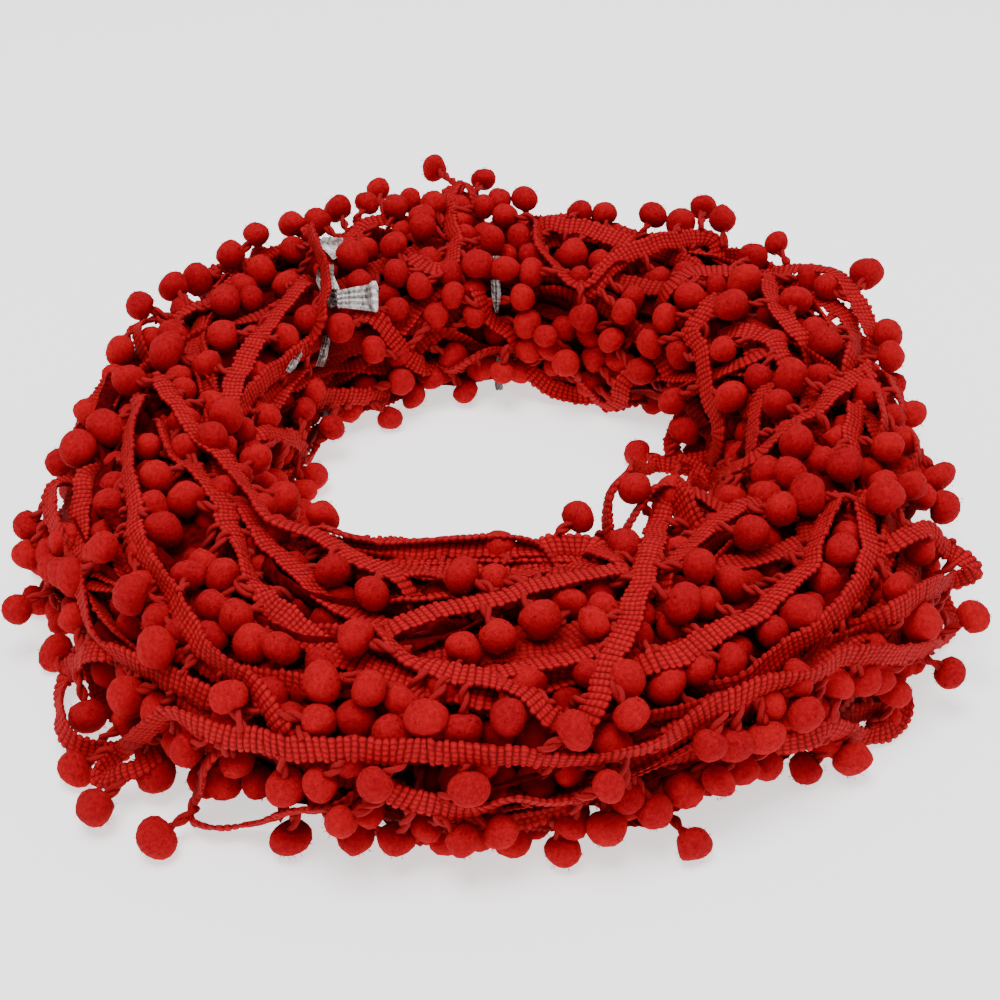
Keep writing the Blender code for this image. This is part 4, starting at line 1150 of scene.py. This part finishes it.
def finishFilm(obj, made, tone):
    # a film piece's points in place, with how brightly its painted glint shines
    obj.data.vertices.foreach_set("co", made.astype(np.float32).reshape(-1))
    paintedGlint = obj.data.attributes.new("tone", "FLOAT", "POINT")
    paintedGlint.data.foreach_set("value", (np.zeros(len(made)) + tone).astype(np.float32))
    obj.data.update()


# a band's folds: points round it, lanes across it, spacing, how deep it sinks inside, and how bright its painted glint
# is
band = {"around": 190, "lanes": 20, "pitch": 0.0011, "innerSink": 0.009, "innerTop": 0.047, "innerFade": 0.012,
        "tone": 0.15}


def filmBand(name, seed):
    # a ring pressed flat: it follows its solid's outline, gathered lengthways, and sinks between the laps inside
    point, along, across = tiePlane(name)
    hull = tieHull(name)
    count = band["around"]
    ring = evenly(np.concatenate([hull, hull[:1]]), 0.0002)
    ring = ring[np.linspace(0, len(ring) - 1, count, endpoint=False).astype(int)]
    bpy.ops.object.select_all(action="DESELECT")
    bpy.ops.mesh.primitive_torus_add(
        major_segments=count, minor_segments=band["lanes"], major_radius=1, minor_radius=0.4)
    tape = bpy.context.object
    tape.name = tape.data.name = name + "_film"
    place = np.array([vertex.co[:] for vertex in tape.data.vertices])
    step = np.arctan2(place[:, 1], place[:, 0]) % (2 * math.pi) * count / (2 * math.pi)
    step = np.round(step).astype(int) % count
    turn = np.arctan2(place[:, 2], np.hypot(place[:, 0], place[:, 1]) - 1)
    share = np.cos(turn)
    inward = unit(hull.mean(0) - ring)[step]
    outline = ring[step]
    span = step * band["pitch"]
    low = np.clip((band["innerTop"] - outline[:, 1]) / band["innerFade"], 0, 1)
    fold = 0.00050 * np.sin(share * 7 + 0.8 * np.sin(span * 95) + seed) + 0.00025 * np.sin(share * 15 + span * 120)
    sink = 0.0005 + fold + band["innerSink"] * low + 0.00008 * np.sin(turn)
    flat = outline + inward * sink[:, None]
    pull = 1 - 0.28 * np.sin(span * 110 + seed) ** 2
    aside = share * ties[name]["width"] / 2 * pull + ties[name]["aside"] + 0.0005 * np.sin(span * 60 + seed)
    made = point + along[None, :] * flat[:, 0, None] + across[None, :] * aside[:, None]
    made[:, 2] = np.maximum(flat[:, 1], 0.0003)
    finishFilm(tape, made, band["tone"])
    bpy.ops.object.mode_set(mode="EDIT")
    bpy.ops.mesh.select_all(action="SELECT")
    bpy.ops.mesh.normals_make_consistent(inside=False)
    bpy.ops.object.mode_set(mode="OBJECT")
    tape.data.shade_smooth()
    return tape


# the left tie's knot and free ends, and the two bits of the back tie that show, each a strip a little above the pile:
# rows across it, from edge to edge in the picture, with how brightly each row's painted glint shines
filmEnds = {
    "longEnd": {"lift": 0.0045, "mottle": 0.22, "edges": (
        (337, 291, 338, 308, 0.9), (345, 289, 345, 308, 0.8), (354, 287, 354, 309, 0.8), (362, 286, 363, 310, 0.8),
        (366, 285, 368, 311, 0.5), (369, 284, 371, 311, 0.0), (372, 281, 375, 312, 1.3), (376, 281, 377, 312, 1.3),
        (378, 287, 378, 309, 1.2))},
    "shortEnd": {"lift": 0.002, "mottle": 0.15, "edges": (
        (333, 260, 331, 257, 1.0), (338, 257, 327, 253, 0.3), (341, 252, 323, 249, 1.1), (342, 249, 321, 246, 0.9),
        (343, 244, 318, 243, 0.2), (343, 238, 323, 237, 0.4))},
    "upperStrip": {"lift": -0.0035, "mottle": 0.1, "edges": (
        (319, 263, 334, 264, 0.0), (317, 272, 334, 271, 0.1), (316, 281, 333, 279, 0.2), (320, 290, 334, 288, 0.1),
        (324, 297, 334, 295, -0.2))},
    "knot": {"lift": 0.0, "mottle": 0.25, "edges": (
        (324, 300, 330, 309, 0.1), (326, 294, 332, 308, 0.1), (331, 288, 335, 306, 0.1), (336, 290, 338, 306, 0.3),
        (340, 292, 341, 305, 0.7))},
    "knotTip": {"lift": 0.0035, "mottle": 0.1, "edges": (
        (331, 277, 334, 276, 0.9), (331, 283, 337, 283, 1.0), (332, 289, 340, 290, 0.6))},
    "lowerStrip": {"lift": -0.0015, "mottle": 0.1, "edges": (
        (324, 335, 331, 336, 0.0), (322, 345, 329, 346, 0.1), (319, 357, 327, 358, 0.1), (316, 366, 324, 367, -0.2))},
    "lowerTip": {"lift": -0.0015, "mottle": 0.1, "edges": (
        (303, 342, 304, 344, 0.4), (298, 352, 302, 355, 0.4), (290, 363, 296, 367, 0.4), (286, 371, 290, 373, 0.3))},
    "backGlint": {"tie": "tie_back", "lift": 0.003, "mottle": 0.1, "edges": (
        (493, 256, 499, 256, 0.5), (493, 260, 500, 260, 0.9), (495, 265, 499, 265, 0.9))},
    "backStrip": {"tie": "tie_back", "lift": 0.003, "mottle": 0.1, "edges": (
        (491, 280, 500, 280, 0.1), (492, 296, 501, 296, 0.15), (494, 306, 499, 306, 0.1), (496, 313, 498, 313, -0.1))}}


filmSheet = {"lanes": 8, "rowGap": 2.4, "thick": 0.00016}


def filmEnd(name, seed):
    # a flat grid laid over the sight lines of its rows, crumpled into a few broad facets, then given its thickness
    piece = filmEnds[name]
    edges = np.array(piece["edges"], float)
    rows, tones = evenly(edges[:, :4], filmSheet["rowGap"], edges[:, 4])
    lanes, count = filmSheet["lanes"], len(rows)
    dice = np.random.default_rng(seed)
    bpy.ops.object.select_all(action="DESELECT")
    bpy.ops.mesh.primitive_grid_add(x_subdivisions=lanes, y_subdivisions=count - 1, size=2)
    sheet = bpy.context.object
    sheet.name = sheet.data.name = piece.get("tie", "tie_left") + "_" + name
    place = np.array([vertex.co[:2] for vertex in sheet.data.vertices])
    share, number = (place[:, 0] + 1) / 2, np.round((place[:, 1] + 1) / 2 * (count - 1)).astype(int)
    depths = [ontoPile((row[0] + row[2]) / 2, (row[1] + row[3]) / 2, 0.004, 0.002) for row in rows]
    depths = smooth(np.array(depths), max(1, min(4, (count - 2) // 2))) - piece["lift"]
    row = rows[number]
    px, py = row[:, 0] + (row[:, 2] - row[:, 0]) * share, row[:, 1] + (row[:, 3] - row[:, 1]) * share
    lane = np.round(share * lanes).astype(int)
    ridges = 0.0007 * dice.normal(size=lanes + 1)[lane] + 0.0005 * dice.normal(size=count)[number]
    ridges = ridges + 0.0003 * dice.normal(size=len(share))
    made = eye + (depths[number] + ridges)[:, None] * rayThrough(px, py)
    finishFilm(sheet, made, tones[number] + piece["mottle"] * dice.normal(size=len(share)))
    facing = np.array([polygon.normal[:] for polygon in sheet.data.polygons]).mean(0) @ (eye - made.mean(0))
    if facing < 0:
        sheet.data.flip_normals()
    solid = sheet.modifiers.new("film", "SOLIDIFY")
    solid.thickness, solid.offset = filmSheet["thick"], 0
    bpy.ops.object.modifier_apply(modifier="film")
    sheet.data.shade_flat()
    return sheet


print("tying the film")
for seed, name in enumerate(ties):
    dress(filmBand(name, 50 + seed), film, "clear_film", name)
for seed, name in enumerate(filmEnds):
    dress(filmEnd(name, 70 + seed), film, "clear_film", filmEnds[name].get("tie", "tie_left"))

# floor and soft studio light
bpy.ops.object.select_all(action="DESELECT")
bpy.ops.mesh.primitive_plane_add(size=12, location=(0, 0, 0))
floor = bpy.context.object
floor.name = "studioFloor"
floorMaterial = newMaterial("studioFloorWhite", {
    "Base Color": linear("F4F4F4"), "Roughness": 0.9, "Emission Color": (1, 1, 1, 1), "Emission Strength": 1.15})[0]
floor.data.materials.append(floorMaterial)

world = bpy.data.worlds.new("studio")
bpy.context.scene.world = world
world.use_nodes = True
world.node_tree.nodes["Background"].inputs["Color"].default_value = (1, 1, 1, 1)
world.node_tree.nodes["Background"].inputs["Strength"].default_value = 0.54


def softLight(name, place, size, power):
    data = bpy.data.lights.new(name, "AREA")
    data.shape = "DISK"
    data.size = size
    data.energy = power
    lamp = bpy.data.objects.new(name, data)
    lamp.location = place
    lamp.rotation_euler = (Vector((0, 0, 0.03)) - Vector(place)).to_track_quat("-Z", "Y").to_euler()
    bpy.context.scene.collection.objects.link(lamp)


softLight("keyLight", (-0.2, -0.25, 1.5), 0.9, 25)
softLight("fillLight", (0.8, 0.2, 1.2), 1.0, 6)
